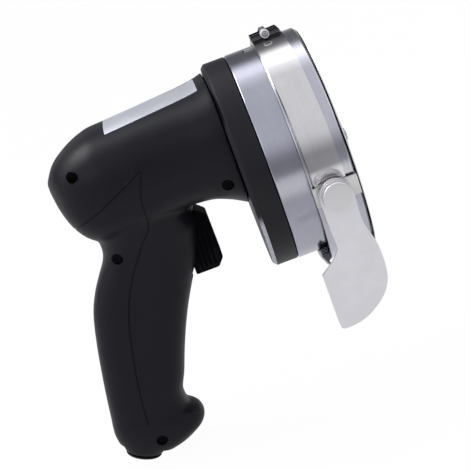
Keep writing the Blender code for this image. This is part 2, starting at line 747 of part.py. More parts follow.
def barrel_crown(x, y):
    """Height of the barrel's upper skin."""
    share = (BARREL_FRONT - x) / BARREL_LENGTH
    crown_share, under_share, width_share = read_shares(BARREL_SHARES, share)
    crown = crown_share * BARREL_TOP
    under = under_share * BARREL_DROP
    level = abs(y) / (width_share * BARREL_HALF_WIDTH)
    rise = (1.0 - level ** BARREL_POWER) ** (1.0 / BARREL_POWER)
    return 0.5 * (crown + under) + 0.5 * (crown - under) * rise


def rating_plate(metal, frame):
    """Thin bare plate that follows the crown of the barrel."""
    near = LABEL_NEAR_SHARE * BARREL_HALF_WIDTH
    far = LABEL_FAR_SHARE * BARREL_HALF_WIDTH
    across = [near + (far - near) * row / LABEL_ROWS for row in range(LABEL_ROWS + 1)]
    rings = []
    for column in range(LABEL_COLUMNS + 1):
        along = column / LABEL_COLUMNS
        station = LABEL_FRONT_SHARE + (LABEL_BACK_SHARE - LABEL_FRONT_SHARE) * along
        x = BARREL_FRONT - station * BARREL_LENGTH
        lower = [(x, y, barrel_crown(x, y) + GAP) for y in across]
        upper = [(x, y, barrel_crown(x, y) + GAP + LABEL_THICKNESS) for y in reversed(across)]
        rings.append(lower + upper)
    return lofted("rating_plate", rings, metal, frame)


def housing_screws(steel, frame):
    """Four screws that hold the half shells together."""
    for number, (x, z) in enumerate(screw_places(), 1):
        surface = side_at(x, z)
        head_top = -surface + SCREW_SUNK
        seat = head_top + SCREW_HEAD_LENGTH - GAP
        tip = min(SCREW_REACH, surface - SCREW_SUNK - OVERRUN)
        profile = [(0.0, 0.0), (0.0, SCREW_HEAD), (seat - head_top, SCREW_HEAD),
                   (seat - head_top, SCREW_SHANK), (tip - head_top, SCREW_SHANK),
                   (tip - head_top, 0.0)]
        screw = turned(f"housing_screw_{number}", profile, steel, frame, SMALL_STEPS)
        screw.rotation_euler = (0.0, 0.0, QUARTER_TURN)
        screw.location = (x, head_top, z)
        for wide, tall in ((DRIVE_SLOT_REACH, DRIVE_SLOT_HALF), (DRIVE_SLOT_HALF, DRIVE_SLOT_REACH)):
            slot = block("slot", (x - wide, head_top - OVERRUN, z - tall),
                         (x + wide, head_top + DRIVE_SLOT_DEPTH, z + tall), None, frame)
            screw = cut(screw, slot)


# Collar and head
def front_collar(black, frame):
    """Black flange with the gear space and both rear bearing seats."""
    profile = [(-COLLAR_LENGTH, 0.0),
               (-COLLAR_LENGTH, COLLAR_RADIUS - COLLAR_CHAMFER),
               (-COLLAR_LENGTH + COLLAR_CHAMFER, COLLAR_RADIUS),
               (0.0, COLLAR_RADIUS),
               (0.0, COLLAR_RADIUS - COLLAR_WALL),
               (-COLLAR_LENGTH + COLLAR_WEB, COLLAR_RADIUS - COLLAR_WALL),
               (-COLLAR_LENGTH + COLLAR_WEB, 0.0)]
    collar = turned("front_collar", profile, black, frame, FINE_STEPS)
    seat = SMALL_BEARING_RADIUS + SEAT_CLEARANCE
    depth = SMALL_BEARING_WIDTH + GAP
    motor_seat = rod_along("motor_seat", seat, -COLLAR_LENGTH - OVERRUN, -COLLAR_LENGTH + depth,
                           None, frame, z=MOTOR_Z)
    pinion_hole = rod_along("pinion_hole", pinion_tip() + GAP, -COLLAR_LENGTH, 0.0, None, frame,
                            z=MOTOR_Z)
    spindle_seat = rod_along("spindle_seat", seat, -COLLAR_LENGTH + COLLAR_WEB - depth, 0.0, None,
                             frame, z=SPINDLE_Z)
    cut(collar, motor_seat, pinion_hole, spindle_seat)
    holes = [rod_along("hole", HEAD_SCREW_RADIUS + SEAT_CLEARANCE, -COLLAR_LENGTH - OVERRUN,
                       0.0, None, frame, SMALL_STEPS, *place) for place in head_screw_places()]
    return cut(collar, *holes)


def head_screw_places():
    """Centres of the screws through the head's web, as (y, z)."""
    return circle(HEAD_SCREW_CIRCLE, HEAD_SCREW_COUNT, turn=0.5 * QUARTER_TURN)


def head_ring(aluminium, frame):
    """Cast ring, web and bearing boss, with the sleeve that carries the guard."""
    web_front = HEAD_WEB_BACK + HEAD_WEB
    inner = HEAD_RADIUS - SLEEVE_WALL
    spigot = COLLAR_RADIUS - COLLAR_WALL - GAP
    profile = [(-HEAD_SPIGOT, spigot - HEAD_SPIGOT_WALL),
               (-HEAD_SPIGOT, spigot),
               (GAP, spigot),
               (GAP, HEAD_RADIUS),
               (SLEEVE_END - HEAD_EDGE, HEAD_RADIUS),
               (SLEEVE_END, HEAD_RADIUS - HEAD_EDGE),
               (SLEEVE_END, inner),
               (web_front, inner),
               (web_front, 0.0)]
    disc = [(HEAD_WEB_BACK, 0.0), (HEAD_WEB_BACK, spigot - HEAD_SPIGOT_WALL)]
    ring = turned("head_ring", disc + profile, aluminium, frame, FINE_STEPS)
    boss = turned("boss", [(HEAD_WEB_BACK + GAP, 0.0), (HEAD_WEB_BACK + GAP, BOSS_RADIUS),
                           (BOSS_FRONT, BOSS_RADIUS - BOSS_DRAFT), (BOSS_FRONT, 0.0)],
                  None, frame, ROUND_STEPS)
    boss.location = (0.0, 0.0, SPINDLE_Z)
    fused(ring, boss)
    window = turned("window", [(HEAD_FRONT, inner - OVERRUN), (HEAD_FRONT, HEAD_RADIUS + OVERRUN),
                               (SLEEVE_END + OVERRUN, HEAD_RADIUS + OVERRUN),
                               (SLEEVE_END + OVERRUN, inner - OVERRUN)],
                    None, frame, ROUND_STEPS, -WINDOW_HALF_ANGLE, 2.0 * WINDOW_HALF_ANGLE)
    seat = rod_along("seat", LARGE_BEARING_RADIUS + SEAT_CLEARANCE,
                     BOSS_FRONT - SEAL_WIDTH - LARGE_BEARING_WIDTH - 2.0 * GAP,
                     BOSS_FRONT + OVERRUN, None, frame, z=SPINDLE_Z)
    bore = rod_along("bore", BOSS_BORE, 0.0, BOSS_FRONT, None, frame, z=SPINDLE_Z)
    cut(ring, window, seat, bore)
    holes = [rod_along("hole", HEAD_SCREW_RADIUS + SEAT_CLEARANCE, -HEAD_SPIGOT - OVERRUN,
                       web_front + OVERRUN, None, frame, SMALL_STEPS, *place)
             for place in head_screw_places()]
    cut(ring, *holes)
    low = (HEAD_FRONT, -KEY_OFFSET - KEY_HALF_WIDTH - GAP, HEAD_RADIUS - KEY_HEIGHT - GAP)
    high = (HEAD_FRONT + KEY_LENGTH + 2.0 * GAP, -KEY_OFFSET + KEY_HALF_WIDTH + GAP,
            HEAD_RADIUS + OVERRUN)
    return cut(ring, block("keyway", low, high, None, frame))


def guide_key(steel, frame):
    """Flat key in the top of the sleeve that keeps the guard from turning."""
    low = (HEAD_FRONT + GAP, -KEY_OFFSET - KEY_HALF_WIDTH, HEAD_RADIUS - KEY_HEIGHT)
    high = (HEAD_FRONT + GAP + KEY_LENGTH, -KEY_OFFSET + KEY_HALF_WIDTH, HEAD_RADIUS - KEY_SUNK)
    return block("guide_key", low, high, steel, frame)


def head_screws(steel, frame):
    """Four cap screws through the web into the collar."""
    seat = HEAD_WEB_BACK + HEAD_WEB + GAP
    for number, (y, z) in enumerate(head_screw_places(), 1):
        profile = [(-COLLAR_LENGTH + OVERRUN, 0.0), (-COLLAR_LENGTH + OVERRUN, HEAD_SCREW_RADIUS),
                   (seat, HEAD_SCREW_RADIUS), (seat, HEAD_SCREW_HEAD),
                   (seat + HEAD_SCREW_HEAD_LENGTH, HEAD_SCREW_HEAD),
                   (seat + HEAD_SCREW_HEAD_LENGTH, 0.0)]
        screw = turned(f"head_screw_{number}", profile, steel, frame, SMALL_STEPS)
        screw.location = (0.0, y, z)


# Bearings and seal
def bearing(name, radius, bore, width, back, steel, frame, z):
    """A closed ball bearing: two rings and a shield set back between them."""
    outer_land = radius - BEARING_WALL
    inner_land = bore + 0.5 * BEARING_WALL
    shield = back + width - BEARING_RECESS
    profile = [(back, bore), (back, radius), (back + width, radius), (back + width, outer_land),
               (shield, outer_land), (shield, inner_land), (back + width, inner_land),
               (back + width, bore)]
    made = turned(name, profile, steel, frame, SMALL_STEPS)
    made.location = (0.0, 0.0, z)
    return made


def shaft_seal(rubber, frame):
    """Lip seal in front of the spindle's front bearing."""
    back = BOSS_FRONT - SEAL_WIDTH
    bore = SPINDLE_RADIUS + SHAFT_CLEARANCE
    lip = SPINDLE_RADIUS + 0.5 * BEARING_WALL
    profile = [(back, bore), (back, LARGE_BEARING_RADIUS), (BOSS_FRONT, LARGE_BEARING_RADIUS),
               (BOSS_FRONT, LARGE_BEARING_RADIUS - BEARING_WALL),
               (BOSS_FRONT - 0.5 * SEAL_WIDTH, lip), (BOSS_FRONT, bore)]
    made = turned("shaft_seal", profile, rubber, frame, ROUND_STEPS)
    made.location = (0.0, 0.0, SPINDLE_Z)
    return made


# Gears
def pinion_tip():
    """Outer radius of the pinion."""
    return GEAR_MODULE * (0.5 * PINION_TEETH + PINION_ADDENDUM_SHARE)


def gear_outline(teeth, addendum_share, dedendum_share, turn):
    """Involute teeth about the origin; the first tooth's middle lies at the turn angle."""
    pitch = 0.5 * GEAR_MODULE * teeth
    base = pitch * math.cos(PRESSURE_ANGLE)
    tip = pitch + addendum_share * GEAR_MODULE
    root = pitch - dedendum_share * GEAR_MODULE

    def flank_angle(radius):
        if radius <= base:
            return 0.0
        slope = math.acos(base / radius)
        return math.tan(slope) - slope

    half_tooth = 0.5 * HALF_TURN / teeth - TOOTH_PLAY / pitch
    start = max(base, root)
    radii = [start + (tip - start) * index / FLANK_POINTS for index in range(FLANK_POINTS + 1)]
    if root < start:
        radii.insert(0, root)
    points = []
    for tooth in range(teeth):
        middle = turn + FULL_TURN * tooth / teeth
        offsets = [half_tooth + flank_angle(pitch) - flank_angle(radius) for radius in radii]
        flank = list(zip(radii, offsets))
        for radius, offset in flank:
            points.append((radius * math.cos(middle - offset), radius * math.sin(middle - offset)))
        for radius, offset in reversed(flank):
            points.append((radius * math.cos(middle + offset), radius * math.sin(middle + offset)))
    return points


def drive_gear(steel, spindle):
    """Large gear on the spindle, with a tooth straight up at the pinion."""
    back = -COLLAR_LENGTH + COLLAR_WEB + 2.0 * GAP
    outline = gear_outline(GEAR_TEETH, GEAR_ADDENDUM_SHARE, GEAR_DEDENDUM_SHARE, QUARTER_TURN)
    bore = circle(SPINDLE_RADIUS + SHAFT_CLEARANCE, ROUND_STEPS)
    return plate("drive_gear", outline, [bore], back, back + GEAR_FACE, steel, spindle, along="X")


def pinion(steel, motor):
    """Small gear on the motor shaft, with a tooth space straight down at the drive gear."""
    back = -COLLAR_LENGTH + COLLAR_WEB + 2.0 * GAP - 0.5 * (PINION_FACE - GEAR_FACE)
    outline = gear_outline(PINION_TEETH, PINION_ADDENDUM_SHARE, PINION_DEDENDUM_SHARE,
                           -QUARTER_TURN + HALF_TURN / PINION_TEETH)
    bore = circle(SHAFT_RADIUS + SHAFT_CLEARANCE, SMALL_STEPS)
    return plate("pinion", outline, [bore], back, back + PINION_FACE, steel, motor, along="X")


# Spindle and blade
def blade_spindle(steel, spindle):
    """Stepped shaft from the collar's bearing to the blade's thread."""
    tail = -COLLAR_LENGTH + COLLAR_WEB - SMALL_BEARING_WIDTH
    shoulder = -COLLAR_LENGTH + COLLAR_WEB + GAP
    profile = [(tail, 0.0), (tail, SPINDLE_TAIL_RADIUS), (shoulder, SPINDLE_TAIL_RADIUS),
               (shoulder, SPINDLE_RADIUS), (BLADE_BACK - 2.0 * GAP, SPINDLE_RADIUS),
               (BLADE_BACK - 2.0 * GAP, SPINDLE_THREAD_RADIUS),
               (SPINDLE_NOSE, SPINDLE_THREAD_RADIUS), (SPINDLE_NOSE, 0.0)]
    return turned("blade_spindle", profile, steel, spindle, ROUND_STEPS)


def blade(steel, spindle):
    """Round knife with a ground bevel on its front."""
    front = BLADE_BACK + BLADE_THICKNESS
    bore = SPINDLE_THREAD_RADIUS + SHAFT_CLEARANCE
    profile = [(BLADE_BACK, bore), (BLADE_BACK, BLADE_RADIUS),
               (BLADE_BACK + BLADE_EDGE, BLADE_RADIUS), (front, BLADE_RADIUS - BLADE_BEVEL),
               (front, bore)]
    return turned("blade", profile, steel, spindle, FINE_STEPS)


def blade_nut(steel, spindle):
    """Flanged hexagon nut that holds the blade on the spindle's thread."""
    back = BLADE_BACK + BLADE_THICKNESS + GAP
    flange = back + NUT_FLANGE_SHARE * BLADE_NUT_LENGTH
    bore = SPINDLE_THREAD_RADIUS + SHAFT_CLEARANCE
    nut = turned("blade_nut", [(back, bore), (back, BLADE_SEAT_RADIUS),
                               (flange, BLADE_SEAT_RADIUS - 0.5 * BLADE_THICKNESS),
                               (flange, bore)], steel, spindle, ROUND_STEPS)
    hexagon = plate("hexagon", circle(BLADE_NUT_RADIUS, 6), [circle(bore, ROUND_STEPS)],
                    flange - 0.5 * BLADE_THICKNESS, back + BLADE_NUT_LENGTH, None, spindle, along="X")
    return fused(nut, hexagon)


# Guard
def guard_ring(steel, guard):
    """Stainless band with a rolled rear bead and a front lip turned in behind the blade."""
    inner = GUARD_RADIUS - GUARD_WALL
    profile = [(GUARD_BACK, inner), (GUARD_BACK, GUARD_RADIUS + GUARD_BEAD),
               (GUARD_BACK + BEAD_FLAT_SHARE * GUARD_BEAD_WIDTH, GUARD_RADIUS + GUARD_BEAD),
               (GUARD_BACK + GUARD_BEAD_WIDTH, GUARD_RADIUS),
               (GUARD_FRONT - GUARD_EDGE, GUARD_RADIUS),
               (GUARD_FRONT, GUARD_RADIUS - GUARD_EDGE), (GUARD_FRONT, inner - GUARD_LIP),
               (GUARD_FRONT - GUARD_WALL, inner - GUARD_LIP), (GUARD_FRONT - GUARD_WALL, inner)]
    return turned("guard_ring", profile, steel, guard, FINE_STEPS)


def slice_deflector(steel, guard):
    """Flared lip behind the lower gap, on two legs that lap inside the guard ring."""
    wall = DEFLECTOR_WALL
    tip = DEFLECTOR_BACK + DEFLECTOR_FLARE
    profile = [(DEFLECTOR_BACK, DEFLECTOR_INNER), (DEFLECTOR_BACK, LEG_OUTER),
               (tip, DEFLECTOR_OUTER), (tip + wall, DEFLECTOR_OUTER),
               (DEFLECTOR_BACK + wall, LEG_OUTER), (DEFLECTOR_BACK + wall, DEFLECTOR_INNER)]
    lip = turned("slice_deflector", profile, steel, guard, SMALL_STEPS,
                 -DEFLECTOR_HALF_ANGLE, 2.0 * DEFLECTOR_HALF_ANGLE)
    lip.location = (0.0, 0.0, -GUARD_Z)
    root = DEFLECTOR_BACK + 0.5 * wall
    end = GUARD_BACK + LEG_LAP
    for angle in LEG_ANGLES:
        leg = turned("leg", [(root, LEG_INNER), (root, LEG_OUTER), (end, LEG_OUTER),
                             (end, LEG_INNER)], None, guard, LEG_STEPS,
                     angle - LEG_HALF_ANGLE, 2.0 * LEG_HALF_ANGLE)
        leg.location = (0.0, 0.0, -GUARD_Z)
        fused(lip, leg)
    return lip


def angle_from_top(height, radius):
    """Angle round the guard from its top to a height above the head datum."""
    return math.acos((height - GUARD_Z) / radius)


def strap_half(name, side, steel, guard):
    """Half of the clamp strap, with its end bent up for the clamp bolt."""
    outer = STRAP_INNER + STRAP_WALL
    front = STRAP_BACK + STRAP_WIDTH
    end = angle_from_top(CLIP_BOTTOM + STRAP_WALL, outer)
    start = HALF_TURN - side * STRAP_START_ANGLE
    sweep = side * (STRAP_START_ANGLE - end)
    band = turned(name, [(STRAP_BACK, STRAP_INNER), (STRAP_BACK, outer), (front, outer),
                         (front, STRAP_INNER)], steel, guard, ROUND_STEPS,
                  min(start, start + sweep), abs(sweep))
    inner_y = side * STRAP_INNER * math.sin(STRAP_START_ANGLE)
    outer_y = inner_y + side * STRAP_WALL
    foot = STRAP_INNER * math.cos(STRAP_START_ANGLE)
    flange = block("flange", (STRAP_BACK, min(inner_y, outer_y), foot),
                   (front, max(inner_y, outer_y), FLANGE_TOP - GUARD_Z), None, guard)
    hole = rod_across("hole", CLAMP_BOLT_RADIUS + GAP, -4.0 * OVERRUN, 4.0 * OVERRUN,
                      CLAMP_BOLT_X, CLAMP_BOLT_Z - GUARD_Z, None, guard)
    return cut(fused(band, flange), hole)


def flange_face():
    """Distance from the middle plane to the outer face of a strap flange."""
    return STRAP_INNER * math.sin(STRAP_START_ANGLE) + STRAP_WALL


def clip(name, side, steel, guard):
    """Clip over the guard's rear edge that holds the strap's end."""
    first = angle_from_top(CLIP_TOP, CLIP_OUTER)
    last = angle_from_top(CLIP_BOTTOM, CLIP_OUTER)
    hook = CLIP_OUTER - CLIP_HOOK
    profile = [(CLIP_BACK, hook), (CLIP_BACK, CLIP_OUTER), (CLIP_FRONT, CLIP_OUTER),
               (CLIP_FRONT, CLIP_INNER), (CLIP_BACK + CLIP_WALL, CLIP_INNER),
               (CLIP_BACK + CLIP_WALL, hook)]
    start = HALF_TURN - side * first
    sweep = side * (first - last)
    made = turned(name, profile, steel, guard, CLIP_STEPS, min(start, start + sweep), abs(sweep))
    hole = rod_across("hole", STUD_RADIUS + SHAFT_CLEARANCE, side * (CLIP_INNER - 4.0 * OVERRUN),
                      side * (CLIP_OUTER + OVERRUN), KNOB_X, KNOB_Z - GUARD_Z, None, guard)
    return cut(made, hole)


def strap_face(z):
    """Distance from the middle plane to the strap's outer face at a height."""
    return math.sqrt((STRAP_INNER + STRAP_WALL) ** 2 - (z - GUARD_Z) ** 2)


def knob_stud(steel, guard):
    """Collared stud that carries the gauge plate and the knob."""
    root = strap_face(KNOB_Z) + 2.0 * GAP
    collar_face = STUD_COLLAR_BACK + STUD_COLLAR_LENGTH
    tip = KNOB_FACE - STUD_END_SHARE * KNOB_LENGTH
    profile = [(root, 0.0), (root, STUD_RADIUS), (STUD_COLLAR_BACK, STUD_RADIUS),
               (STUD_COLLAR_BACK, STUD_COLLAR_RADIUS), (collar_face, STUD_COLLAR_RADIUS),
               (collar_face, STUD_RADIUS), (tip, STUD_RADIUS), (tip, 0.0)]
    made = turned("knob_stud", profile, steel, guard, SMALL_STEPS)
    made.rotation_euler = (0.0, 0.0, -QUARTER_TURN)
    made.location = (KNOB_X, 0.0, KNOB_Z - GUARD_Z)
    return made


def far_rivet(steel, guard):
    """Round-headed rivet through the clip on the side without a knob."""
    root = strap_face(KNOB_Z) + 2.0 * GAP
    profile = [(root, 0.0), (root, STUD_RADIUS), (STUD_COLLAR_BACK, STUD_RADIUS),
               (STUD_COLLAR_BACK, RIVET_HEAD_RADIUS),
               (STUD_COLLAR_BACK + 0.5 * RIVET_HEAD_HEIGHT, RIVET_SHOULDER_SHARE * RIVET_HEAD_RADIUS),
               (STUD_COLLAR_BACK + RIVET_HEAD_HEIGHT, RIVET_CROWN_SHARE * RIVET_HEAD_RADIUS),
               (STUD_COLLAR_BACK + RIVET_HEAD_HEIGHT, 0.0)]
    made = turned("far_rivet", profile, steel, guard, SMALL_STEPS)
    made.rotation_euler = (0.0, 0.0, QUARTER_TURN)
    made.location = (KNOB_X, 0.0, KNOB_Z - GUARD_Z)
    return made


def clamp_bolt(steel, guard):
    """Small hexagon bolt through both flanges."""
    head_back = flange_face() + GAP
    tip = -(flange_face() + GAP + CLAMP_NUT_LENGTH + BOLT_TAIL)
    z = CLAMP_BOLT_Z - GUARD_Z
    shank = rod_across("clamp_bolt", CLAMP_BOLT_RADIUS, tip, head_back + GAP, CLAMP_BOLT_X, z,
                       steel, guard)
    head = plate("head", circle(CLAMP_BOLT_HEAD, 6, (CLAMP_BOLT_X, z)), [], head_back,
                 head_back + CLAMP_BOLT_HEAD_LENGTH, None, guard)
    return fused(shank, head)


def clamp_nut(steel, axis):
    """Round knurled nut on the near side of the clamp bolt."""
    back = flange_face() + GAP
    outline = fluted(CLAMP_NUT_RADIUS, CLAMP_NUT_FLUTE, CLAMP_NUT_FLUTES)
    bore = circle(CLAMP_BOLT_RADIUS + SHAFT_CLEARANCE, SMALL_STEPS)
    return plate("clamp_nut", outline, [bore], -back - CLAMP_NUT_LENGTH, -back, steel, axis)


def fluted(radius, depth, flutes):
    """A circle with shallow flutes for grip."""
    count = 4 * flutes
    points = []
    for index in range(count):
        angle = FULL_TURN * index / count
        reach = radius - (depth if index % 4 in (2, 3) else 0.0)
        points.append((reach * math.cos(angle), reach * math.sin(angle)))
    return points


# Gauge plate and knob
def gauge_outline():
    """Outline of the plate about its pivot: round top, narrow neck, wide rounded paddle."""
    half_neck = 0.5 * GAUGE_NECK
    points = [(half_neck * math.cos(angle), half_neck * math.sin(angle))
              for angle in (HALF_TURN * step / GAUGE_TOP_STEPS for step in range(GAUGE_TOP_STEPS + 1))]
    points += [(across * GAUGE_WIDTH - GAUGE_BACK_EDGE, -down * GAUGE_REACH)
               for across, down in GAUGE_SHARES]
    return points


def gauge_plate(steel, pivot):
    """Flat paddle that hangs from the knob beside the blade."""
    back = STUD_COLLAR_BACK + STUD_COLLAR_LENGTH + GAP
    hole = circle(STUD_RADIUS + SHAFT_CLEARANCE, SMALL_STEPS)
    return plate("gauge_plate", gauge_outline(), [hole], -back - GAUGE_THICKNESS, -back, steel,
                 pivot)


def gauge_knob(steel, pivot):
    """Round knurled thumb knob."""
    grip_back = KNOB_BACK + KNOB_NECK_LENGTH
    bore = circle(STUD_RADIUS + SHAFT_CLEARANCE, SMALL_STEPS)
    body = plate("gauge_knob", fluted(KNOB_RADIUS, KNOB_FLUTE, KNOB_FLUTES), [],
                 -KNOB_FACE + KNOB_EDGE, -grip_back, steel, pivot)
    face = rod_across("face", KNOB_RADIUS - KNOB_EDGE, -KNOB_FACE, -KNOB_FACE + 2.0 * KNOB_EDGE,
                      0.0, 0.0, None, pivot, ROUND_STEPS)
    neck = rod_across("neck", KNOB_NECK_RADIUS, -grip_back - KNOB_EDGE, -KNOB_BACK, 0.0, 0.0,
                      None, pivot, ROUND_STEPS)
    knob = fused(body, face, neck)
    hole = plate("hole", bore, [], -KNOB_FACE + KNOB_BORE_SHARE * KNOB_LENGTH,
                 -KNOB_BACK + OVERRUN, None, pivot)
    return cut(knob, hole)


# Motor
def motor_shaft(steel, motor):
    """Shaft from the rear bearing to the pinion."""
    tail = BEARING_RIB_X - 0.5 * SMALL_BEARING_WIDTH - SHAFT_OVERHANG
    front = -COLLAR_LENGTH + COLLAR_WEB + GEAR_FACE + GAP
    return rod_along("motor_shaft", SHAFT_RADIUS, tail, front, steel, motor, SMALL_STEPS)


def motor_can(steel, frame):
    """Field stack in its can."""
    profile = [(CAN_BACK, CAN_BORE), (CAN_BACK, CAN_RADIUS - HEAD_EDGE),
               (CAN_BACK + HEAD_EDGE, CAN_RADIUS),
               (CAN_FRONT - HEAD_EDGE, CAN_RADIUS), (CAN_FRONT, CAN_RADIUS - HEAD_EDGE),
               (CAN_FRONT, CAN_BORE)]
    made = turned("motor_can", profile, steel, frame, ROUND_STEPS)
    made.location = (0.0, 0.0, MOTOR_Z)
    return made


def armature(steel, motor):
    """Slotted core with its end windings."""
    outline = []
    tooth = FULL_TURN / ARMATURE_SLOTS
    half = SLOT_HALF_WIDTH_SHARE
    floor = (1.0 - SLOT_DEPTH_SHARE) * ARMATURE_RADIUS
    for slot in range(ARMATURE_SLOTS):
        centre = tooth * slot
        for angle, radius in ((centre - half, ARMATURE_RADIUS), (centre - half, floor),
                              (centre + half, floor), (centre + half, ARMATURE_RADIUS),
                              (centre + 0.5 * tooth, ARMATURE_RADIUS)):
            outline.append((radius * math.cos(angle), radius * math.sin(angle)))
    bore = circle(SHAFT_RADIUS + SHAFT_CLEARANCE, SMALL_STEPS)
    return plate("armature", outline, [bore], CAN_BACK + ARMATURE_INSET, CAN_FRONT - ARMATURE_INSET,
                 steel, motor, along="X")


def end_windings(copper, motor):
    """Copper bundles on both faces of the core."""
    bore = SHAFT_RADIUS + SHAFT_CLEARANCE
    radius = WINDING_SHARE * ARMATURE_RADIUS
    rear = CAN_BACK + ARMATURE_INSET - GAP - WINDING_LENGTH
    front = CAN_FRONT - ARMATURE_INSET + GAP
    for name, low in (("rear_winding", rear), ("front_winding", front)):
        high = low + WINDING_LENGTH
        profile = [(low, bore), (low, radius - HEAD_EDGE), (low + HEAD_EDGE, radius),
                   (high - HEAD_EDGE, radius), (high, radius - HEAD_EDGE), (high, bore)]
        turned(name, profile, copper, motor, SMALL_STEPS)


def commutator(copper, motor):
    """Copper commutator with its bars."""
    outline = []
    bar = FULL_TURN / COMMUTATOR_BARS
    half = COMMUTATOR_SLOT / COMMUTATOR_RADIUS
    for index in range(COMMUTATOR_BARS):
        centre = bar * index
        for angle, radius in ((centre - half, COMMUTATOR_RADIUS),
                              (centre, COMMUTATOR_RADIUS - 2.0 * COMMUTATOR_SLOT),
                              (centre + half, COMMUTATOR_RADIUS),
                              (centre + 0.5 * bar, COMMUTATOR_RADIUS)):
            outline.append((radius * math.cos(angle), radius * math.sin(angle)))
    bore = circle(SHAFT_RADIUS + SHAFT_CLEARANCE, SMALL_STEPS)
    return plate("commutator", outline, [bore], COMMUTATOR_BACK, COMMUTATOR_BACK + COMMUTATOR_LENGTH,
                 copper, motor, along="X")


def cooling_fan(plastic, motor):
    """Radial fan with a back disc."""
    fan = turned("cooling_fan", [(FAN_BACK, SHAFT_RADIUS + SHAFT_CLEARANCE),
                                 (FAN_BACK, FAN_RADIUS), (FAN_BACK + FAN_DISC, FAN_RADIUS),
                                 (FAN_BACK + FAN_DISC, FAN_HUB_RADIUS),
                                 (FAN_BACK + FAN_WIDTH, FAN_HUB_RADIUS),
                                 (FAN_BACK + FAN_WIDTH, SHAFT_RADIUS + SHAFT_CLEARANCE)],
                 plastic, motor, ROUND_STEPS)
    vanes = []
    for index in range(FAN_BLADES):
        vane = block("vane", (FAN_BACK + 0.5 * FAN_DISC, -0.5 * FAN_BLADE_WALL,
                              FAN_HUB_RADIUS - 0.5 * FAN_BLADE_WALL),
                     (FAN_BACK + FAN_WIDTH - 0.5 * FAN_DISC, 0.5 * FAN_BLADE_WALL,
                      FAN_RADIUS - FAN_BLADE_WALL), None, motor)
        vane.rotation_euler = (FULL_TURN * index / FAN_BLADES, 0.0, 0.0)
        vanes.append(vane)
    return fused(fan, *vanes)


def brush_holder(plastic, frame):
    """Plate behind the can with two radial brush boxes."""
    front = CAN_BACK - GAP
    back = front - BRUSH_PLATE
    bore = BRUSH_PLATE_BORE_SHARE * CAN_RADIUS
    holder = turned("brush_holder", [(back, bore), (back, CAN_RADIUS), (front, CAN_RADIUS),
                                     (front, bore)], plastic, frame, ROUND_STEPS)
    holder.location = (0.0, 0.0, MOTOR_Z)
    half = 0.5 * BRUSH_SIZE
    middle = COMMUTATOR_BACK + 0.5 * COMMUTATOR_LENGTH
    for side in (-1, 1):
        inner = side * bore
        outer = side * (CAN_RADIUS - HEAD_EDGE)
        tube = block("tube", (middle - half - BRUSH_WALL, min(inner, outer),
                              MOTOR_Z - half - BRUSH_WALL),
                     (front - 0.5 * BRUSH_PLATE, max(inner, outer), MOTOR_Z + half + BRUSH_WALL),
                     None, frame)
        fused(holder, tube)
    channel = block("channel", (middle - half - GAP, -CAN_RADIUS - OVERRUN, MOTOR_Z - half - GAP),
                    (middle + half + GAP, CAN_RADIUS + OVERRUN, MOTOR_Z + half + GAP), None, frame)
    return cut(holder, channel)


def carbon_brushes(carbon, frame):
    """Two carbon brushes, one on each side of the commutator."""
    middle = COMMUTATOR_BACK + 0.5 * COMMUTATOR_LENGTH
    half = 0.5 * BRUSH_SIZE
    for name, side in (("brush_near", -1), ("brush_far", 1)):
        inner = side * (COMMUTATOR_RADIUS + GAP)
        outer = side * (CAN_RADIUS - BRUSH_INSET)
        block(name, (middle - half, min(inner, outer), MOTOR_Z - half),
              (middle + half, max(inner, outer), MOTOR_Z + half), carbon, frame)


# Trigger and switch
def trigger(plastic, slide):
    """Trigger with grooves on its face and flanks, and a stem into the switch."""
    back = -TRIGGER_DEPTH
    outline = [(back, TRIGGER_TOP), (-TRIGGER_ROUND, TRIGGER_TOP), (0.0, TRIGGER_TOP - TRIGGER_ROUND),
               (0.0, TRIGGER_BOTTOM + TRIGGER_TOE_RISE),
               (-TRIGGER_TOE, TRIGGER_BOTTOM), (back, TRIGGER_BOTTOM)]
    body = plate("trigger", outline, [], -TRIGGER_HALF_WIDTH, TRIGGER_HALF_WIDTH, plastic, slide)
    for index in range(TRIGGER_RIBS):
        share = (index + 0.5) / TRIGGER_RIBS
        middle = (2.0 * share - 1.0) * (TRIGGER_HALF_WIDTH - TRIGGER_RIB_HALF)
        low = (-TRIGGER_RIB_DEPTH, middle - TRIGGER_RIB_HALF, TRIGGER_BOTTOM + TRIGGER_TOE_RISE)
        high = (OVERRUN, middle + TRIGGER_RIB_HALF, TRIGGER_TOP - 2.0 * TRIGGER_ROUND)
        cut(body, block("groove", low, high, None, slide))
    for side in (-1, 1):
        for index in range(FLANK_GROOVES):
            cut(body, flank_groove(side, index, slide))
    stem = rod_along("stem", STEM_RADIUS, back - SPRING_LENGTH - 2.0 * GAP - STEM_ENTRY,
                     back + OVERRUN, None, slide, SMALL_STEPS, z=STEM_Z)
    return fused(body, stem)


def flank_groove(side, index, slide):
    """One groove down the trigger's flank, leaning with the front of the grip."""
    height = 0.5 * (TRIGGER_TOP - TRIGGER_BOTTOM) - TRIGGER_TOE_RISE
    inner = side * (TRIGGER_HALF_WIDTH - TRIGGER_RIB_DEPTH)
    outer = side * (TRIGGER_HALF_WIDTH + OVERRUN)
    groove = block("groove", (-TRIGGER_RIB_HALF, min(inner, outer), -height),
                   (TRIGGER_RIB_HALF, max(inner, outer), height), None, slide)
    groove.rotation_euler = (0.0, FLANK_GROOVE_LEAN, 0.0)
    groove.location = (-FLANK_GROOVE_START - index * FLANK_GROOVE_PITCH, 0.0,
                       0.5 * (TRIGGER_TOP + TRIGGER_BOTTOM))
    return groove


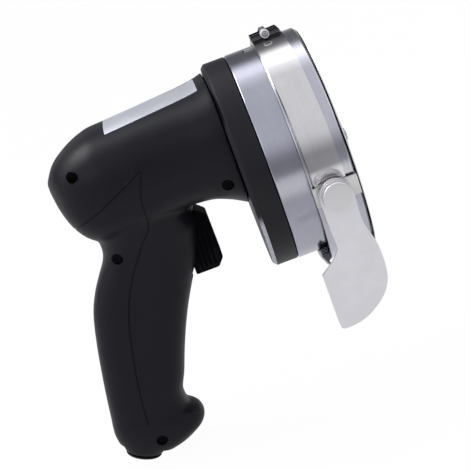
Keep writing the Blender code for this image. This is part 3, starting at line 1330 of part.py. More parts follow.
def switch_body(plastic, frame):
    """Trigger switch with the bore for the stem and two rear terminals."""
    body = block("switch_body", (SWITCH_BACK, -SWITCH_HALF_WIDTH, SWITCH_BOTTOM),
                 (SWITCH_FRONT, SWITCH_HALF_WIDTH, SWITCH_TOP), plastic, frame, SWITCH_EDGE)
    bore = rod_along("bore", STEM_RADIUS + GAP,
                     SWITCH_FRONT - STEM_ENTRY - TRIGGER_TRAVEL - 2.0 * GAP,
                     SWITCH_FRONT + OVERRUN, None, frame, SMALL_STEPS, z=STEM_Z)
    return cut(body, bore)


def switch_terminals(brass, frame):
    """Two flat tabs under the switch."""
    centre = 0.5 * (SWITCH_FRONT + SWITCH_BACK)
    for name, side in (("terminal_near", -1), ("terminal_far", 1)):
        middle = side * 0.5 * SWITCH_HALF_WIDTH
        block(name, (centre - TERMINAL_HALF, middle - TERMINAL_WALL,
                     SWITCH_BOTTOM - GAP - TERMINAL_LENGTH),
              (centre + TERMINAL_HALF, middle + TERMINAL_WALL, SWITCH_BOTTOM - GAP), brass, frame)


def trigger_spring(steel, frame):
    """Coil spring round the stem, between trigger and switch."""
    start = SWITCH_FRONT + GAP + SPRING_WIRE
    length = SPRING_LENGTH - 2.0 * SPRING_WIRE
    count = SPRING_TURNS * SPRING_POINTS
    curve = bpy.data.curves.new("trigger_spring", "CURVE")
    curve.dimensions = "3D"
    spline = curve.splines.new("POLY")
    spline.points.add(count)
    for index, point in enumerate(spline.points):
        angle = FULL_TURN * index / SPRING_POINTS
        point.co = (start + length * index / count, SPRING_RADIUS * math.cos(angle),
                    STEM_Z + SPRING_RADIUS * math.sin(angle), 1.0)
    curve.bevel_depth = SPRING_WIRE
    curve.bevel_resolution = 0
    curve.use_fill_caps = True
    curve.materials.append(steel)
    made = bpy.data.objects.new("trigger_spring", curve)
    bpy.context.scene.collection.objects.link(made)
    made.parent = frame
    return made


# Cord gland
def cord_gland(rubber, frame):
    """Grooved rubber gland in the foot of the grip, open for a cord."""
    bottom = -GRIP_DROP - GLAND_BOTTOM
    top = -GRIP_DROP + GLAND_TOP_RISE
    length = top - bottom
    profile = [(0.0, GLAND_BORE), (0.0, GLAND_RADIUS - GLAND_GROOVE),
               (GLAND_GROOVE, GLAND_RADIUS), (length - GLAND_FLANGE_WIDTH, GLAND_RADIUS),
               (length - GLAND_FLANGE_WIDTH, GLAND_FLANGE), (length, GLAND_FLANGE),
               (length, GLAND_BORE)]
    made = turned("cord_gland", profile, rubber, frame, SMALL_STEPS)
    made.rotation_euler = (0.0, -QUARTER_TURN, 0.0)
    made.location = (GLAND_X, 0.0, bottom)
    return made


def build():
    """Make every piece and hang it on the body that carries it."""
    for old in list(bpy.data.objects):
        bpy.data.objects.remove(old)
    black = finish("black_plastic", (0.018, 0.018, 0.021), 0.42, 0.0)
    trigger_black = finish("trigger_plastic", (0.014, 0.014, 0.016), 0.5, 0.0)
    collar_black = finish("collar_black", (0.022, 0.022, 0.024), 0.48, 0.0)
    aluminium = finish("satin_aluminium", (0.62, 0.62, 0.66), 0.32, 1.0)
    stainless = finish("polished_stainless", (0.72, 0.72, 0.76), 0.16, 1.0)
    satin = finish("satin_steel", (0.60, 0.59, 0.62), 0.42, 1.0)
    plain_steel = finish("plain_steel", (0.45, 0.45, 0.47), 0.35, 1.0)
    can_steel = finish("can_steel", (0.30, 0.30, 0.32), 0.45, 1.0)
    copper = finish("copper", (0.65, 0.32, 0.18), 0.35, 1.0)
    brass = finish("brass", (0.70, 0.55, 0.25), 0.35, 1.0)
    carbon = finish("carbon", (0.03, 0.03, 0.03), 0.7, 0.0)
    rubber = finish("rubber", (0.02, 0.02, 0.02), 0.75, 0.0)

    box_y = 0.5 * (STUD_COLLAR_BACK + RIVET_HEAD_HEIGHT - KNOB_FACE)
    box_z = 0.5 * (CLAMP_NUT_TOP - GRIP_DROP - GLAND_BOTTOM)
    frame = empty("tool_frame", (-BOX_X, -box_y, -box_z))
    spindle = empty("spindle_axis", (0.0, 0.0, SPINDLE_Z), frame)
    motor = empty("motor_axis", (0.0, 0.0, MOTOR_Z), frame)
    guard = empty("guard_slide", (0.0, 0.0, GUARD_Z), frame)
    pivot = empty("gauge_pivot", (KNOB_X, 0.0, KNOB_Z), frame)
    clamp_axis = empty("clamp_axis", (CLAMP_BOLT_X, 0.0, CLAMP_BOLT_Z), frame)
    slide = empty("trigger_slide", (TRIGGER_FRONT, 0.0, 0.0), frame)

    housing_half("housing_near", -1, black, frame)
    housing_half("housing_far", 1, black, frame)
    housing_screws(plain_steel, frame)
    rating_plate(satin, frame)
    front_collar(collar_black, frame)
    head_ring(aluminium, frame)
    guide_key(stainless, frame)
    head_screws(plain_steel, frame)
    motor_can(can_steel, frame)
    brush_holder(trigger_black, frame)
    carbon_brushes(carbon, frame)
    small = SMALL_BEARING_RADIUS
    width = SMALL_BEARING_WIDTH
    shaft_bore = SHAFT_RADIUS + SHAFT_CLEARANCE
    bearing("motor_rear_bearing", small, shaft_bore, width, BEARING_RIB_X - 0.5 * width,
            plain_steel, frame, MOTOR_Z)
    bearing("motor_front_bearing", small, shaft_bore, width, -COLLAR_LENGTH, plain_steel, frame,
            MOTOR_Z)
    bearing("spindle_rear_bearing", small, SPINDLE_TAIL_RADIUS + SHAFT_CLEARANCE, width,
            -COLLAR_LENGTH + COLLAR_WEB - width, plain_steel, frame, SPINDLE_Z)
    bearing("spindle_front_bearing", LARGE_BEARING_RADIUS, SPINDLE_RADIUS + SHAFT_CLEARANCE,
            LARGE_BEARING_WIDTH, BOSS_FRONT - SEAL_WIDTH - GAP - LARGE_BEARING_WIDTH, plain_steel,
            frame, SPINDLE_Z)
    shaft_seal(rubber, frame)
    switch_body(trigger_black, frame)
    switch_terminals(brass, frame)
    trigger_spring(plain_steel, frame)
    cord_gland(rubber, frame)

    blade(stainless, spindle)
    blade_nut(satin, spindle)
    blade_spindle(plain_steel, spindle)
    drive_gear(plain_steel, spindle)

    motor_shaft(plain_steel, motor)
    armature(can_steel, motor)
    end_windings(copper, motor)
    commutator(copper, motor)
    cooling_fan(trigger_black, motor)
    pinion(plain_steel, motor)

    trigger(trigger_black, slide)

    guard_ring(stainless, guard)
    slice_deflector(satin, guard)
    strap_half("strap_near", -1, stainless, guard)
    strap_half("strap_far", 1, stainless, guard)
    clip("clip_near", -1, stainless, guard)
    clip("clip_far", 1, stainless, guard)
    knob_stud(plain_steel, guard)
    far_rivet(plain_steel, guard)
    clamp_bolt(plain_steel, guard)
    clamp_nut(plain_steel, clamp_axis)
    gauge_plate(satin, pivot)
    gauge_knob(satin, pivot)


build()
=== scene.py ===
"""Looks of the electric kebab slicer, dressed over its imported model.

Pieces are drawn in millimetres from the head datum, the middle of the collar's front face:
X runs along the knife's axis towards the knife, Z is up, and -Y is the side with the knob.
"""
import math

import bmesh
import bpy
from mathutils import Matrix, Vector


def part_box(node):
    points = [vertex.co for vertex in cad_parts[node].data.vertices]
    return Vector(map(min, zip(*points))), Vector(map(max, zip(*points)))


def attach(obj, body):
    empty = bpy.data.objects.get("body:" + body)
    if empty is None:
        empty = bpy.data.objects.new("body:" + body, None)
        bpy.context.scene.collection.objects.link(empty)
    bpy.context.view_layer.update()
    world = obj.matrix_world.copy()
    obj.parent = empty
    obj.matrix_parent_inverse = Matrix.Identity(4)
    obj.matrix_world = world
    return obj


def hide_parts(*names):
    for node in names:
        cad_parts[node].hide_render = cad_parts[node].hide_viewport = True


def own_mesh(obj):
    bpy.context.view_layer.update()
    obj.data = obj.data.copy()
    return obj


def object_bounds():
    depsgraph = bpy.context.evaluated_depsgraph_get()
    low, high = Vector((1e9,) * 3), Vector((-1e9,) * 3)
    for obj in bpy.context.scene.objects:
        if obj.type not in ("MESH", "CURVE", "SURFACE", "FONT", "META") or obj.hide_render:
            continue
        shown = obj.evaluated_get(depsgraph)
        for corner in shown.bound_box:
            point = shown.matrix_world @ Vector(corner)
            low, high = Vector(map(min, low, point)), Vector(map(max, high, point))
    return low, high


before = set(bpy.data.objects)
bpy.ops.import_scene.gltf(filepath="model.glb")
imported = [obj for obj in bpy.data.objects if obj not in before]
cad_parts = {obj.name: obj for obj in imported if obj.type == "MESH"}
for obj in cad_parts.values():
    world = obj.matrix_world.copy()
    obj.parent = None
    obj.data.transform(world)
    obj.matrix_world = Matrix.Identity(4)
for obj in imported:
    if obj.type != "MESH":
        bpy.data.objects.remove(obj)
cad_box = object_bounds()

MM = 0.001
HEAD_DATUM = Vector((0.03795, 0.0063, 0.03455))
TURN = 2.0 * math.pi

# Sizes shared by several pieces
SPINDLE_Z = -4.0
GUARD_Z = -2.3
KNOB_PLACE = (24.75, -14.2)
CLAMP_PLACE = (22.43, 58.4)
FLANGE_TOP = 59.3
FLANGE_FOOT = 56.7
COLLAR_RADIUS = 53.3
HEAD_RADIUS = 53.5
GUARD_RADIUS = 57.3
STRAP_RADIUS = 57.6
STRAP_WALL = 0.9
CLIP_RADIUS = 58.8
CLIP_WALL = 1.0
PARTING = 0.15
SHELL_WALL = 2.6
STEM_Z = -31.0
SCREW_PLACES = ((-88.7, 29.0), (-20.3, 1.6), (-83.9, -18.7), (-97.0, -116.9))

# Barrel: x, crown, underside, half width
BARREL_STATIONS = (
    (-12.8, 48.8, -16.0, 44.5), (-16.5, 47.6, -13.6, 44.0), (-22.0, 46.6, -10.7, 42.5),
    (-30, 45.92, -8.12, 40), (-40, 45.38, -7.48, 38), (-52, 44.61, -8.51, 36.8),
    (-66, 43.83, -10.53, 35.8), (-75, 43.47, -10.87, 34.6), (-82, 41.82, -10.72, 32.6),
    (-88, 39.4, -9.5, 29.8), (-93, 36.69, -6.39, 26.4), (-97, 34, -1.4, 22.2),
    (-100, 30.95, 4.75, 16.8), (-102, 27.9, 12.1, 11.2), (-103.3, 25.88, 19.92, 4.5),
)
# Grip: height, front, back, half width
GRIP_STATIONS = (
    (4.0, -43.0, -88.0, 31.0), (-6.0, -40.6, -90.1, 27.5), (-15.6, -39.6, -90.3, 23.5),
    (-21.0, -41.2, -92.2, 21.5), (-28.0, -43.4, -97.0, 19.7), (-35.0, -46.3, -101.7, 18.6),
    (-45.0, -52.6, -106.6, 17.8), (-60.0, -61.0, -110.8, 17.4), (-75.0, -68.0, -114.0, 17.0),
    (-90.0, -74.0, -116.8, 16.8), (-101.0, -78.3, -118.6, 16.8), (-106.0, -78.0, -119.5, 17.0),
    (-110.0, -73.2, -119.9, 17.0), (-114.0, -71.9, -119.5, 16.6), (-118.0, -73.6, -118.6, 15.8),
    (-121.5, -78.5, -117.8, 14.4), (-124.6, -85.0, -116.0, 12.0), (-126.4, -91.0, -113.1, 9.0),
)
# Gland: middle of its lower face, its backward tilt, and the height of its seat above that face
GLAND_FOOT = (-109.9, -126.15)
GLAND_TILT = math.radians(25.0)
GLAND_SEAT = 7.0
# Squareness of the sections: 2 is an ellipse
BARREL_POWER = 2.85
GRIP_POWER = 2.6
# Blend of barrel and grip: voxel, middle and half height of the soft joint, smoothing rounds
SKIN_VOXEL = 0.95
JOINT_Z = -11.0
JOINT_REACH = 17.0
JOINT_ROUNDS = 46
# Trigger's spring: turns and wire radius
SPRING_TURNS = 5.0
SPRING_WIRE = 0.4


# Shaping tools
def eased(points, radius, steps=3):
    """The outline with every corner that has room rounded off."""
    rounded = []
    count = len(points)
    for index in range(count):
        corner = Vector(points[index])
        before = Vector(points[index - 1]) - corner
        after = Vector(points[(index + 1) % count]) - corner
        room = min(before.length, after.length) * 0.45
        if room < 1e-6 or before.angle(after, math.pi) > math.radians(165):
            rounded.append(tuple(corner))
            continue
        reach = min(radius, room)
        start = corner + before.normalized() * reach
        end = corner + after.normalized() * reach
        for step in range(steps + 1):
            share = step / steps
            rounded.append(tuple((1 - share) ** 2 * start + 2 * share * (1 - share) * corner
                                 + share ** 2 * end))
    return rounded


def ring_of(radius, count):
    """Points of a circle."""
    return [(radius * math.cos(TURN * index / count), radius * math.sin(TURN * index / count))
            for index in range(count)]


def knurled(radius, depth, ridges):
    """Outline of a straight-knurled rim, with six points to a ridge."""
    count = 6 * ridges
    outline = []
    for index in range(count):
        angle = TURN * index / count
        reach = radius - depth * (0.5 - 0.5 * math.cos(ridges * angle))
        outline.append((reach * math.cos(angle), reach * math.sin(angle)))
    return outline


def bridge(bm, first, second):
    """Join two closed rows of verts with faces."""
    for index in range(len(first)):
        after = (index + 1) % len(first)
        bm.faces.new((first[index], first[after], second[after], second[index]))


def lathe(bm, profile, steps, start=0.0, sweep=TURN, centre=(0.0, 0.0, 0.0), axis="X"):
    """Add a turned body of (along, radius) points to the mesh; angle 0 is straight down."""
    whole = sweep >= TURN
    rings = []
    for step in range(steps if whole else steps + 1):
        angle = start + sweep * step / steps
        ring = []
        for along, radius in profile:
            side = radius * math.sin(angle)
            down = -radius * math.cos(angle)
            place = {"X": (along, side, down), "Y": (side, along, down),
                     "Z": (side, down, along)}[axis]
            ring.append(bm.verts.new(Vector(centre) + Vector(place)))
        rings.append(ring)
    pairs = list(zip(rings, rings[1:]))
    if whole:
        pairs.append((rings[-1], rings[0]))
    for first, second in pairs:
        bridge(bm, first, second)
    if not whole:
        bm.faces.new(rings[0])
        bm.faces.new(rings[-1])


def slab(bm, outline, holes, near, far, axis="Y", centre=(0.0, 0.0)):
    """Add a flat outline with holes, between two planes, to the mesh."""
    def place(first, second, depth):
        first += centre[0]
        second += centre[1]
        return (first, depth, second) if axis == "Y" else (depth, first, second)

    edges = []
    for loop in [outline, *holes]:
        verts = [bm.verts.new(place(u, v, near)) for u, v in loop]
        edges += [bm.edges.new(pair) for pair in zip(verts, verts[1:] + verts[:1])]
    filled = bmesh.ops.triangle_fill(bm, edges=edges, use_beauty=True)
    faces = [item for item in filled["geom"] if isinstance(item, bmesh.types.BMFace)]
    raised = bmesh.ops.extrude_face_region(bm, geom=faces, use_keep_orig=True)
    moved = [item for item in raised["geom"] if isinstance(item, bmesh.types.BMVert)]
    step = (0.0, far - near, 0.0) if axis == "Y" else (far - near, 0.0, 0.0)
    bmesh.ops.translate(bm, verts=moved, vec=step)


def tilted_with_gland(bm):
    """Carry verts drawn round the Z axis from the gland's foot into the gland's tilted place."""
    place = Matrix.Translation((GLAND_FOOT[0], 0.0, GLAND_FOOT[1]))
    bmesh.ops.transform(bm, verts=bm.verts, matrix=place @ Matrix.Rotation(GLAND_TILT, 4, "Y"))


def skin(bm, rings):
    """Add a closed skin over rings of points to the mesh."""
    loops = [[bm.verts.new(point) for point in ring] for ring in rings]
    for lower, upper in zip(loops, loops[1:]):
        bridge(bm, lower, upper)
    bm.faces.new(loops[0])
    bm.faces.new(loops[-1])


def placed(name, data):
    """A new object that holds the data."""
    made = bpy.data.objects.new(name, data)
    bpy.context.scene.collection.objects.link(made)
    return made


def meshed(name, bm):
    """A new object from a mesh that is drawn in place."""
    mesh = bpy.data.meshes.new(name)
    bm.to_mesh(mesh)
    bm.free()
    return placed(name, mesh)


def object_from(name, bm):
    """Turn a mesh drawn in millimetres from the head datum into an object."""
    bmesh.ops.remove_doubles(bm, verts=bm.verts, dist=0.0005)
    bmesh.ops.dissolve_degenerate(bm, edges=bm.edges, dist=0.0005)
    bmesh.ops.recalc_face_normals(bm, faces=bm.faces)
    bmesh.ops.scale(bm, verts=bm.verts, vec=(MM, MM, MM))
    bmesh.ops.translate(bm, verts=bm.verts, vec=HEAD_DATUM)
    return meshed(name, bm)


def applied(target):
    """Bake the target's modifiers into its mesh."""
    bpy.context.view_layer.update()
    graph = bpy.context.evaluated_depsgraph_get()
    mesh = bpy.data.meshes.new_from_object(target.evaluated_get(graph))
    target.modifiers.clear()
    spent = target.data
    target.data = mesh
    mesh.name = target.name
    bpy.data.meshes.remove(spent)


def carve(target, tool, operation="DIFFERENCE"):
    """Boolean the tool with the target and drop the tool."""
    step = target.modifiers.new("carve", "BOOLEAN")
    step.operation = operation
    step.solver = "EXACT"
    step.object = tool
    applied(target)
    bpy.data.objects.remove(tool)


def fit(made, body, material, slot, *nodes, angle=35.0, edge=0.0):
    """Finish a piece: shading, material, the body it rides on and the nodes it stands for."""
    if edge > 0.0:
        bevel = made.modifiers.new("eased_edges", "BEVEL")
        bevel.width = edge * MM
        bevel.segments = 2
        bevel.limit_method = "ANGLE"
        bevel.angle_limit = math.radians(35.0)
        applied(made)
    made.data.materials.clear()
    made.data.materials.append(material)
    made.data.shade_smooth()
    made.data.set_sharp_from_angle(angle=math.radians(angle))
    if edge > 0.0:
        even = made.modifiers.new("even_shading", "WEIGHTED_NORMAL")
        even.keep_sharp = True
        applied(made)
    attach(made, body)
    if nodes:
        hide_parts(*nodes)


# Shared shader effects
def effect(name, *sockets):
    """An empty node group with named inputs, which gives a colour, a roughness and a height."""
    group = bpy.data.node_groups.new(name, "ShaderNodeTree")
    for label, kind, value in sockets:
        socket = group.interface.new_socket(label, in_out="INPUT", socket_type=kind)
        socket.default_value = value
    for label, kind in (("Colour", "NodeSocketColor"), ("Roughness", "NodeSocketFloat"),
                        ("Height", "NodeSocketFloat")):
        group.interface.new_socket(label, in_out="OUTPUT", socket_type=kind)
    return group, group.nodes.new("NodeGroupInput"), group.nodes.new("NodeGroupOutput")


def add(tree, kind, **settings):
    """A node with its settings; a setting named in the node's inputs sets that socket."""
    node = tree.nodes.new(kind)
    for name, value in settings.items():
        label = name.replace("_", " ")
        if label in node.inputs:
            node.inputs[label].default_value = value
        else:
            setattr(node, name, value)
    return node


def ramp(tree, source, *stops):
    """A colour ramp from grey or colour stops, fed by the source."""
    node = add(tree, "ShaderNodeValToRGB")
    bar = node.color_ramp
    while len(bar.elements) < len(stops):
        bar.elements.new(0.5)
    for element, (place, colour) in zip(bar.elements, stops):
        element.position = place
        element.color = (*colour, 1.0) if isinstance(colour, tuple) else (colour,) * 3 + (1.0,)
    tree.links.new(source, node.inputs["Fac"])
    return node.outputs["Color"]


def feed(tree, node, *inputs):
    """Link each numbered input to its socket, or set it to its value."""
    for index, value in inputs:
        if isinstance(value, bpy.types.NodeSocket):
            tree.links.new(value, node.inputs[index])
        else:
            node.inputs[index].default_value = value


def join(tree, kind, first, second, factor=1.0):
    """Blend two colours; each, and the factor, may be a socket or a value."""
    node = add(tree, "ShaderNodeMix", data_type="RGBA", blend_type=kind)
    feed(tree, node, (0, factor), (6, first), (7, second))
    return node.outputs[2]


def maths(tree, operation, first, second):
    """One sum on two values; each may be a socket or a number."""
    node = add(tree, "ShaderNodeMath", operation=operation)
    feed(tree, node, (0, first), (1, second))
    return node.outputs[0]


def vector_sum(tree, operation, place, value):
    """A place changed by a fixed vector."""
    node = add(tree, "ShaderNodeVectorMath", operation=operation)
    feed(tree, node, (0, place), (1, value))
    return node.outputs[0]


def moulded_grain():
    """Spark-eroded moulding texture: fine pits, soft blotches and lightly rubbed edges."""
    group, start, end = effect(
        "moulded_grain",
        ("Colour", "NodeSocketColor", (0.02, 0.02, 0.02, 1.0)),
        ("Rubbed Colour", "NodeSocketColor", (0.06, 0.06, 0.06, 1.0)),
        ("Grain Size", "NodeSocketFloat", 2600.0),
        ("Gloss", "NodeSocketFloat", 0.42))
    link = group.links.new
    place = add(group, "ShaderNodeTexCoord").outputs["Object"]
    pits = add(group, "ShaderNodeTexNoise", Detail=3.0, Roughness=0.6)
    cells = add(group, "ShaderNodeTexVoronoi", feature="SMOOTH_F1")
    blotch = add(group, "ShaderNodeTexNoise", Scale=55.0, Detail=4.0, Roughness=0.6)
    for node in (pits, cells, blotch):
        link(place, node.inputs["Vector"])
    link(start.outputs["Grain Size"], pits.inputs["Scale"])
    link(maths(group, "MULTIPLY", start.outputs["Grain Size"], 0.55), cells.inputs["Scale"])
    speck = ramp(group, pits.outputs["Fac"], (0.35, 0.78), (0.65, 1.22))
    tinted = join(group, "MULTIPLY", start.outputs["Colour"], speck, 0.8)
    cloud = ramp(group, blotch.outputs["Fac"], (0.3, 0.88), (0.7, 1.12))
    tinted = join(group, "MULTIPLY", tinted, cloud, 0.7)
    edge = add(group, "ShaderNodeNewGeometry").outputs["Pointiness"]
    worn = ramp(group, edge, (0.52, 0.0), (0.60, 1.0))
    broken = ramp(group, blotch.outputs["Fac"], (0.42, 0.0), (0.62, 0.8))
    mask = maths(group, "MULTIPLY", worn, broken)
    link(join(group, "MIX", tinted, start.outputs["Rubbed Colour"], mask), end.inputs["Colour"])
    uneven = maths(group, "MULTIPLY", maths(group, "SUBTRACT", blotch.outputs["Fac"], 0.5), 0.22)
    link(maths(group, "ADD", start.outputs["Gloss"], uneven), end.inputs["Roughness"])
    link(maths(group, "ADD", maths(group, "MULTIPLY", pits.outputs["Fac"], 0.6),
               maths(group, "MULTIPLY", cells.outputs["Distance"], 0.5)), end.inputs["Height"])
    return group


def tool_lines():
    """Fine lines left by turning, rolling or brushing, drawn out along one direction."""
    group, start, end = effect(
        "tool_lines",
        ("Colour", "NodeSocketColor", (0.6, 0.6, 0.6, 1.0)),
        ("Line Colour", "NodeSocketColor", (0.4, 0.4, 0.4, 1.0)),
        ("Place", "NodeSocketVector", (0.0, 0.0, 0.0)),
        ("Gloss", "NodeSocketFloat", 0.2))
    link = group.links.new
    fine = add(group, "ShaderNodeTexNoise", Scale=1.0, Detail=5.0, Roughness=0.7)
    coarse = add(group, "ShaderNodeTexNoise", Scale=0.18, Detail=2.0, Roughness=0.5)
    link(start.outputs["Place"], fine.inputs["Vector"])
    link(start.outputs["Place"], coarse.inputs["Vector"])
    haze = add(group, "ShaderNodeTexNoise", Scale=40.0, Detail=5.0, Roughness=0.6)
    link(add(group, "ShaderNodeTexCoord").outputs["Object"], haze.inputs["Vector"])
    lines = ramp(group, fine.outputs["Fac"], (0.38, 0.0), (0.62, 1.0))
    bands = ramp(group, coarse.outputs["Fac"], (0.35, 0.0), (0.65, 1.0))
    tinted = join(group, "MIX", start.outputs["Colour"], start.outputs["Line Colour"],
                  maths(group, "MULTIPLY", lines, 0.45))
    tinted = join(group, "MIX", tinted, start.outputs["Line Colour"],
                  maths(group, "MULTIPLY", bands, 0.25))
    film = ramp(group, haze.outputs["Fac"], (0.35, 0.90), (0.70, 1.05))
    link(join(group, "MULTIPLY", tinted, film, 0.8), end.inputs["Colour"])
    rough = maths(group, "ADD", start.outputs["Gloss"], maths(group, "MULTIPLY", lines, 0.07))
    rough = maths(group, "ADD", rough, maths(group, "MULTIPLY", haze.outputs["Fac"], 0.10))
    link(maths(group, "SUBTRACT", rough, 0.05), end.inputs["Roughness"])
    link(fine.outputs["Fac"], end.inputs["Height"])
    return group


GRAIN = moulded_grain()
LINES = tool_lines()


def blank(name, metallic, **plain):
    """A material with its Principled shader and the shader's plain values."""
    made = bpy.data.materials.new(name)
    made.use_nodes = True
    shader = made.node_tree.nodes["Principled BSDF"]
    shader.inputs["Metallic"].default_value = metallic
    for label, value in plain.items():
        shader.inputs[label.replace("_", " ")].default_value = value
    return made, made.node_tree, shader


def wired(tree, shader, source, depth, distance):
    """Feed a shader from an effect's colour, roughness and height."""
    tree.links.new(source.outputs["Colour"], shader.inputs["Base Color"])
    tree.links.new(source.outputs["Roughness"], shader.inputs["Roughness"])
    bump = add(tree, "ShaderNodeBump", Strength=depth, Distance=distance)
    tree.links.new(source.outputs["Height"], bump.inputs["Height"])
    tree.links.new(bump.outputs["Normal"], shader.inputs["Normal"])


def moulded(name, colour, rubbed, grain_size, gloss, depth=0.35, **plain):
    """A moulded plastic or rubber."""
    made, tree, shader = blank(name, 0.0, **plain)
    source = add(tree, "ShaderNodeGroup", node_tree=GRAIN, Colour=(*colour, 1.0),
                 Rubbed_Colour=(*rubbed, 1.0), Grain_Size=grain_size, Gloss=gloss)
    wired(tree, shader, source, depth, 0.00012)
    return made


def banded(made, colour, *bands):
    """Blend another colour in where all bands hold.

    A band is an axis and two places on it, in millimetres from the head datum: at the first the
    colour is clear, at the second full.
    """
    tree = made.node_tree
    base = tree.nodes["Principled BSDF"].inputs["Base Color"]
    parts = add(tree, "ShaderNodeSeparateXYZ")
    tree.links.new(add(tree, "ShaderNodeTexCoord").outputs["Object"], parts.inputs[0])
    mask = 1.0
    for axis, clear, full in bands:
        datum = HEAD_DATUM["XYZ".index(axis)]
        rise = add(tree, "ShaderNodeMapRange", interpolation_type="SMOOTHSTEP",
                   From_Min=datum + clear * MM, From_Max=datum + full * MM)
        tree.links.new(parts.outputs[axis], rise.inputs["Value"])
        mask = maths(tree, "MULTIPLY", rise.outputs["Result"], mask)
    tree.links.new(join(tree, "MIX", base.links[0].from_socket, (*colour, 1.0), mask), base)


def worked(name, colour, line_colour, stretch, gloss, depth, centre=None):
    """A worked metal; stretch says how tightly the lines are packed along X, Y and Z.

    With a centre, the lines are rings round the Y axis through it instead.
    """
    made, tree, shader = blank(name, 1.0)
    place = add(tree, "ShaderNodeTexCoord").outputs["Object"]
    if centre is None:
        place = vector_sum(tree, "MULTIPLY", place, stretch)
    else:
        place = vector_sum(tree, "SUBTRACT", place, centre)
        place = vector_sum(tree, "MULTIPLY", place, (1.0, 0.0, 1.0))
        length = add(tree, "ShaderNodeVectorMath", operation="LENGTH")
        tree.links.new(place, length.inputs[0])
        rings = add(tree, "ShaderNodeCombineXYZ")
        tree.links.new(maths(tree, "MULTIPLY", length.outputs["Value"], stretch[0]),
                       rings.inputs["X"])
        place = rings.outputs[0]
    source = add(tree, "ShaderNodeGroup", node_tree=LINES, Colour=(*colour, 1.0),
                 Line_Colour=(*line_colour, 1.0), Gloss=gloss)
    tree.links.new(place, source.inputs["Place"])
    wired(tree, shader, source, depth, 0.00006)
    return made


black_shell = moulded("black_shell", (0.0062, 0.0063, 0.0094), (0.02, 0.02, 0.024), 2600.0, 0.43,
                      Specular_IOR_Level=0.18)
collar_coat_and_painted_highlight = moulded("collar_coat_and_painted_highlight", (0.0115, 0.0113, 0.0145), (0.05, 0.05, 0.056), 3400.0, 0.46,
                      0.5, Specular_IOR_Level=0.2)
# Painted reflection: the rear chamfer turns light grey only below the barrel, where it would mirror
# the bright surroundings.
banded(collar_coat_and_painted_highlight, (0.42, 0.42, 0.45), ("X", -10.6, -10.8), ("X", -12.499, -12.46),
       ("Z", -15.0, -22.0))
trigger_plastic = moulded("trigger_plastic", (0.0010, 0.0011, 0.0019), (0.008, 0.008, 0.010),
                          2200.0, 0.62, Specular_IOR_Level=0.05)
gland_rubber = moulded("gland_rubber", (0.0042, 0.0044, 0.0070), (0.02, 0.02, 0.022), 1500.0, 0.5,
                       Specular_IOR_Level=0.21)
seal_rubber = moulded("seal_rubber", (0.012, 0.012, 0.012), (0.04, 0.04, 0.04), 1200.0, 0.7)
switch_plastic = moulded("switch_plastic", (0.02, 0.02, 0.022), (0.06, 0.06, 0.06), 1800.0, 0.5)
carbon_block = moulded("carbon_block", (0.035, 0.035, 0.036), (0.1, 0.1, 0.1), 2400.0, 0.55)
head_aluminium = worked("head_aluminium", (0.47, 0.47, 0.53), (0.42, 0.42, 0.475),
                        (5200.0, 60.0, 60.0), 0.15, 0.05)
guard_steel = worked("guard_steel", (0.60, 0.60, 0.64), (0.50, 0.50, 0.55),
                     (4200.0, 45.0, 45.0), 0.13, 0.06)
strap_steel = worked("strap_steel", (0.76, 0.75, 0.74), (0.68, 0.67, 0.67),
                     (3600.0, 60.0, 60.0), 0.07, 0.03)
# Darker from 53.5 mm above the datum, fully dark from 56.2 mm up over the bent-up flange.
banded(strap_steel, (0.07, 0.07, 0.075), ("Z", 53.5, 56.2))
blade_steel = worked("blade_steel", (0.62, 0.62, 0.65), (0.50, 0.50, 0.53),
                     (300.0, 1400.0, 120.0), 0.16, 0.06)
nut_nickel = worked("nut_nickel", (0.94, 0.93, 0.92), (0.80, 0.79, 0.78),
                    (1800.0, 900.0, 1800.0), 0.55, 0.1)
plate_steel = worked("plate_steel", (0.90, 0.885, 0.915), (0.86, 0.845, 0.875),
                     (500.0, 200.0, 3200.0), 0.38, 0.03)
clip_steel = worked("clip_steel", (0.76, 0.755, 0.74), (0.68, 0.675, 0.66),
                    (2600.0, 300.0, 300.0), 0.34, 0.06)
# Dark grey steel: painted shade for the lip and web under the head.
lip_steel_painted_shade = worked("lip_steel_painted_shade", (0.13, 0.13, 0.14), (0.09, 0.09, 0.10),
                   (2600.0, 300.0, 300.0), 0.22, 0.06)
knob_centre = HEAD_DATUM + Vector((KNOB_PLACE[0], 0.0, KNOB_PLACE[1])) * MM
knob_steel = worked("knob_steel", (0.88, 0.87, 0.88), (0.77, 0.76, 0.77), (5200.0, 0.0, 0.0),
                    0.32, 0.4, knob_centre)
fastener_steel = worked("fastener_steel", (0.56, 0.56, 0.58), (0.44, 0.44, 0.46),
                        (1800.0, 1800.0, 900.0), 0.26, 0.1)
# Near-black steel: painted shade for the housing screws deep in their wells.
screw_steel_painted_shade = worked("screw_steel_painted_shade", (0.010, 0.010, 0.011), (0.006, 0.006, 0.007),
                     (1500.0, 900.0, 1500.0), 0.34, 0.1)
lamination_steel = worked("lamination_steel", (0.30, 0.30, 0.32), (0.20, 0.20, 0.22),
                          (7000.0, 40.0, 40.0), 0.38, 0.3)
winding_copper = worked("winding_copper", (0.66, 0.30, 0.15), (0.42, 0.17, 0.08),
                        (2600.0, 900.0, 900.0), 0.30, 0.4)
contact_brass = worked("contact_brass", (0.70, 0.52, 0.22), (0.52, 0.38, 0.16),
                       (1800.0, 600.0, 600.0), 0.30, 0.1)
label_foil = worked("label_foil", (0.74, 0.75, 0.80), (0.70, 0.71, 0.76),
                    (900.0, 5200.0, 900.0), 0.46, 0.03)


# Housing
def steepness(rows, column, upper):
    """Slope of a column between a row and the one before it."""
    lower = upper - 1
    return (rows[upper][column] - rows[lower][column]) / (rows[upper][0] - rows[lower][0])


